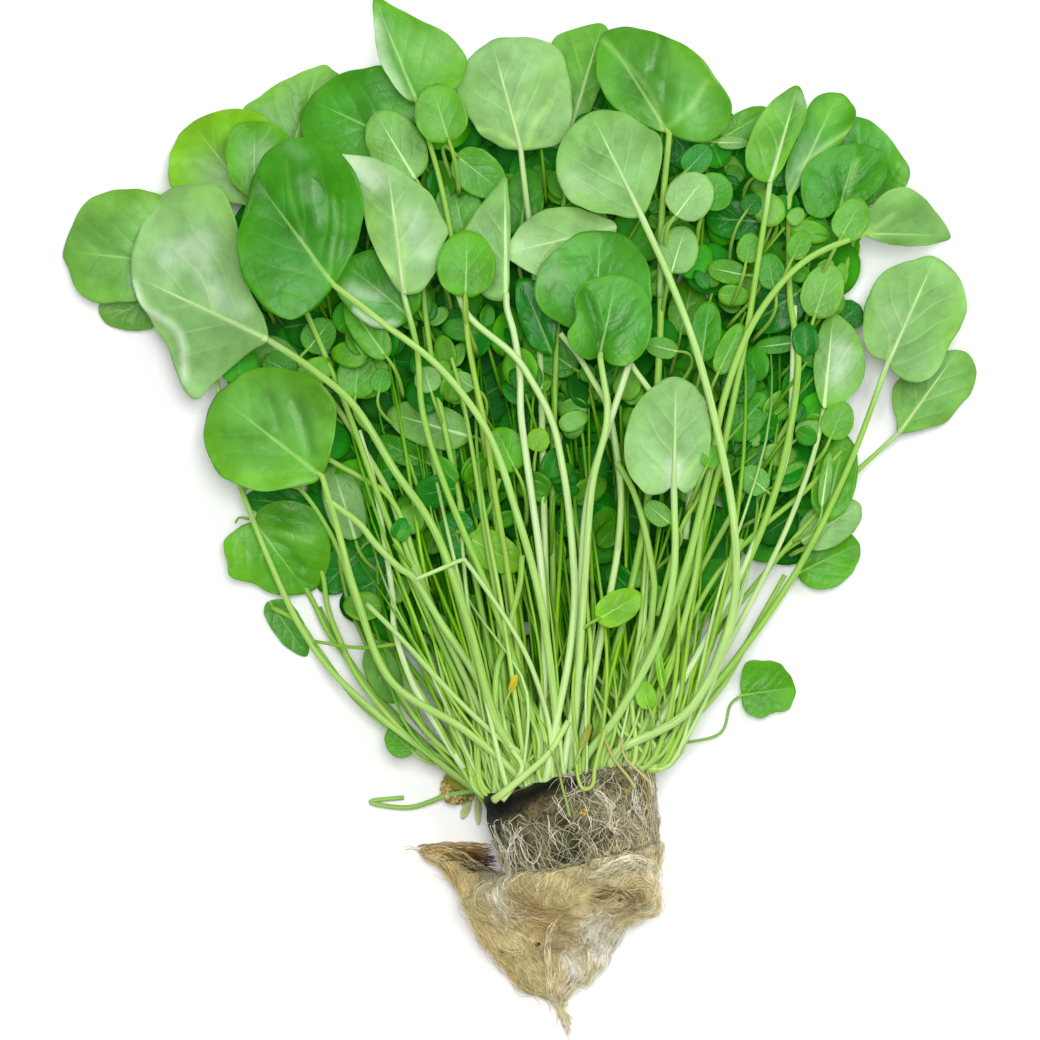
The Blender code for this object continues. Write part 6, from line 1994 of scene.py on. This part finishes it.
class WATERCRESS_OT_crumbs(bpy.types.Operator):
    """Models the bits of withered leaf and of substrate that are caught in the roots"""

    bl_idname = "watercress.crumbs"
    bl_label = "Crumbs"
    # The smallest and largest crumb of the clump, and how high the clump rises from its lowest crumbs.
    CLUMP_RADII = (0.35, 0.85)
    CLUMP_LOWEST, CLUMP_RISE = 1, 3.5
    ROUGHNESS = 0.32
    FLATNESS = 0.6
    SEED = 8

    def execute(self, context):
        tree = joined_tree((bpy.data.objects["plug_body"], bpy.data.objects["mat_body"]))
        bm = bmesh.new()
        tints = bm.verts.layers.float_color.new("Tint")
        dice = random.Random(self.SEED)
        crumbs = list(CRUMBS)
        for _ in range(CLUMP_COUNT):
            turn, far = dice.uniform(0, 2 * math.pi), math.sqrt(dice.random())
            place = np.array((math.cos(turn), math.sin(turn))) * far * CLUMP_SPREAD + CLUMP_PLACE
            crumbs.append((dice.choice(CLUMP_TINTS), dice.uniform(*self.CLUMP_RADII), tuple(place)))
        for number, (tint, radius, place) in enumerate(crumbs):
            made = bmesh.ops.create_icosphere(bm, subdivisions=2, radius=radius)["verts"]
            raised = 0 if number < len(CRUMBS) else self.CLUMP_LOWEST + dice.uniform(0, self.CLUMP_RISE)
            middle = np.array((*place, drape(tree, place) + 0.2 * radius + raised))
            points = np.array([vert.co for vert in made])
            points *= (1 + self.ROUGHNESS * ripple(points, 1.1 * radius, number))[:, None]
            points = middle + points * (1, 1, self.FLATNESS)
            points[:, 2] = np.maximum(points[:, 2], SOLID_FLOOR)
            for vert, point in zip(made, points):
                vert.co = point * MM
                vert[tints] = rgba(pigment(tint, 0.01))
        place_piece("crumbs", finished_mesh("crumbs", bm), [thread_finish()])
        return {"FINISHED"}


class WATERCRESS_OT_stage(bpy.types.Operator):
    """Lays the white paper and sets the soft lights and the camera straight above"""

    bl_idname = "watercress.stage"
    bl_label = "Stage"
    FLOOR_SIDE = 3.0
    CAMERA_HEIGHT = 3.0
    PICTURE_WIDTH = 0.260
    PICTURE_CENTRE = (0.0, -0.00025)
    SENSOR = 36.0
    # Each soft light: its name, its place and width in metres, and its power in watts.
    LIGHTS = (("Overhead", (0.1, 0.4, 4.0), 1.6, 120.0), ("Soft box", (1.0, 1.2, 1.8), 1.0, 22.0))
    SKY_STRENGTH = 0.42
    FARTHEST = 20.0

    def execute(self, context):
        scene = context.scene
        bm = bmesh.new()
        bmesh.ops.create_grid(bm, x_segments=1, y_segments=1, size=self.FLOOR_SIDE / 2)
        mesh = finished_mesh("paper", bm)
        mesh.materials.append(paper_material(scene.watercress_colours.paper))
        floor = bpy.data.objects.new("paper", mesh)
        scene.collection.objects.link(floor)
        for light in self.LIGHTS:
            self.add_light(*light)
        world = bpy.data.worlds.new("White studio")
        world.use_nodes = True
        sky = world.node_tree.nodes["Background"]
        sky.inputs["Color"].default_value = (1.0, 1.0, 1.0, 1.0)
        sky.inputs["Strength"].default_value = self.SKY_STRENGTH
        scene.world = world
        data = bpy.data.cameras.new("Camera")
        data.sensor_width = self.SENSOR
        data.lens = self.SENSOR * self.CAMERA_HEIGHT / self.PICTURE_WIDTH
        data.clip_end = self.FARTHEST
        camera = bpy.data.objects.new("Camera", data)
        camera.location = (*self.PICTURE_CENTRE, self.CAMERA_HEIGHT)
        scene.collection.objects.link(camera)
        scene.camera = camera
        scene.view_settings.view_transform = "Standard"
        return {"FINISHED"}

    def add_light(self, name, place, size, power):
        """Adds a square area light that looks at the bunch."""
        data = bpy.data.lights.new(name, "AREA")
        data.size = size
        data.energy = power
        lamp = bpy.data.objects.new(name, data)
        lamp.location = place
        lamp.rotation_euler = (-Vector(place)).to_track_quat("-Z", "Y").to_euler()
        bpy.context.scene.collection.objects.link(lamp)


class WATERCRESS_PT_parts(bpy.types.Panel):
    """Lists the operators that build the bunch, and its sizes and colours"""

    bl_label = "Watercress"
    bl_idname = "WATERCRESS_PT_parts"
    bl_space_type = "VIEW_3D"
    bl_region_type = "UI"
    bl_category = "Watercress"

    def draw(self, context):
        for operator in OPERATORS:
            self.layout.operator(operator.bl_idname)
        for group in (context.scene.watercress_sizes, context.scene.watercress_colours):
            for name in group.__annotations__:
                self.layout.prop(group, name)


OPERATORS = (
    WATERCRESS_OT_large_leaves,
    WATERCRESS_OT_middle_leaves,
    WATERCRESS_OT_small_leaves,
    WATERCRESS_OT_large_stems,
    WATERCRESS_OT_small_stems,
    WATERCRESS_OT_plug,
    WATERCRESS_OT_root_mat,
    WATERCRESS_OT_mat_fibres,
    WATERCRESS_OT_plug_roots,
    WATERCRESS_OT_crumbs,
    WATERCRESS_OT_stage,
)
CLASSES = (WatercressSizes, WatercressColours, *OPERATORS, WATERCRESS_PT_parts)


def register():
    for item in CLASSES:
        bpy.utils.register_class(item)
    bpy.types.Scene.watercress_sizes = PointerProperty(type=WatercressSizes)
    bpy.types.Scene.watercress_colours = PointerProperty(type=WatercressColours)


def unregister():
    del bpy.types.Scene.watercress_colours
    del bpy.types.Scene.watercress_sizes
    for item in reversed(CLASSES):
        bpy.utils.unregister_class(item)


def main():
    register()
    for operator in OPERATORS:
        family, name = operator.bl_idname.split(".")
        getattr(getattr(bpy.ops, family), name)()


if __name__ == "__main__":
    main()
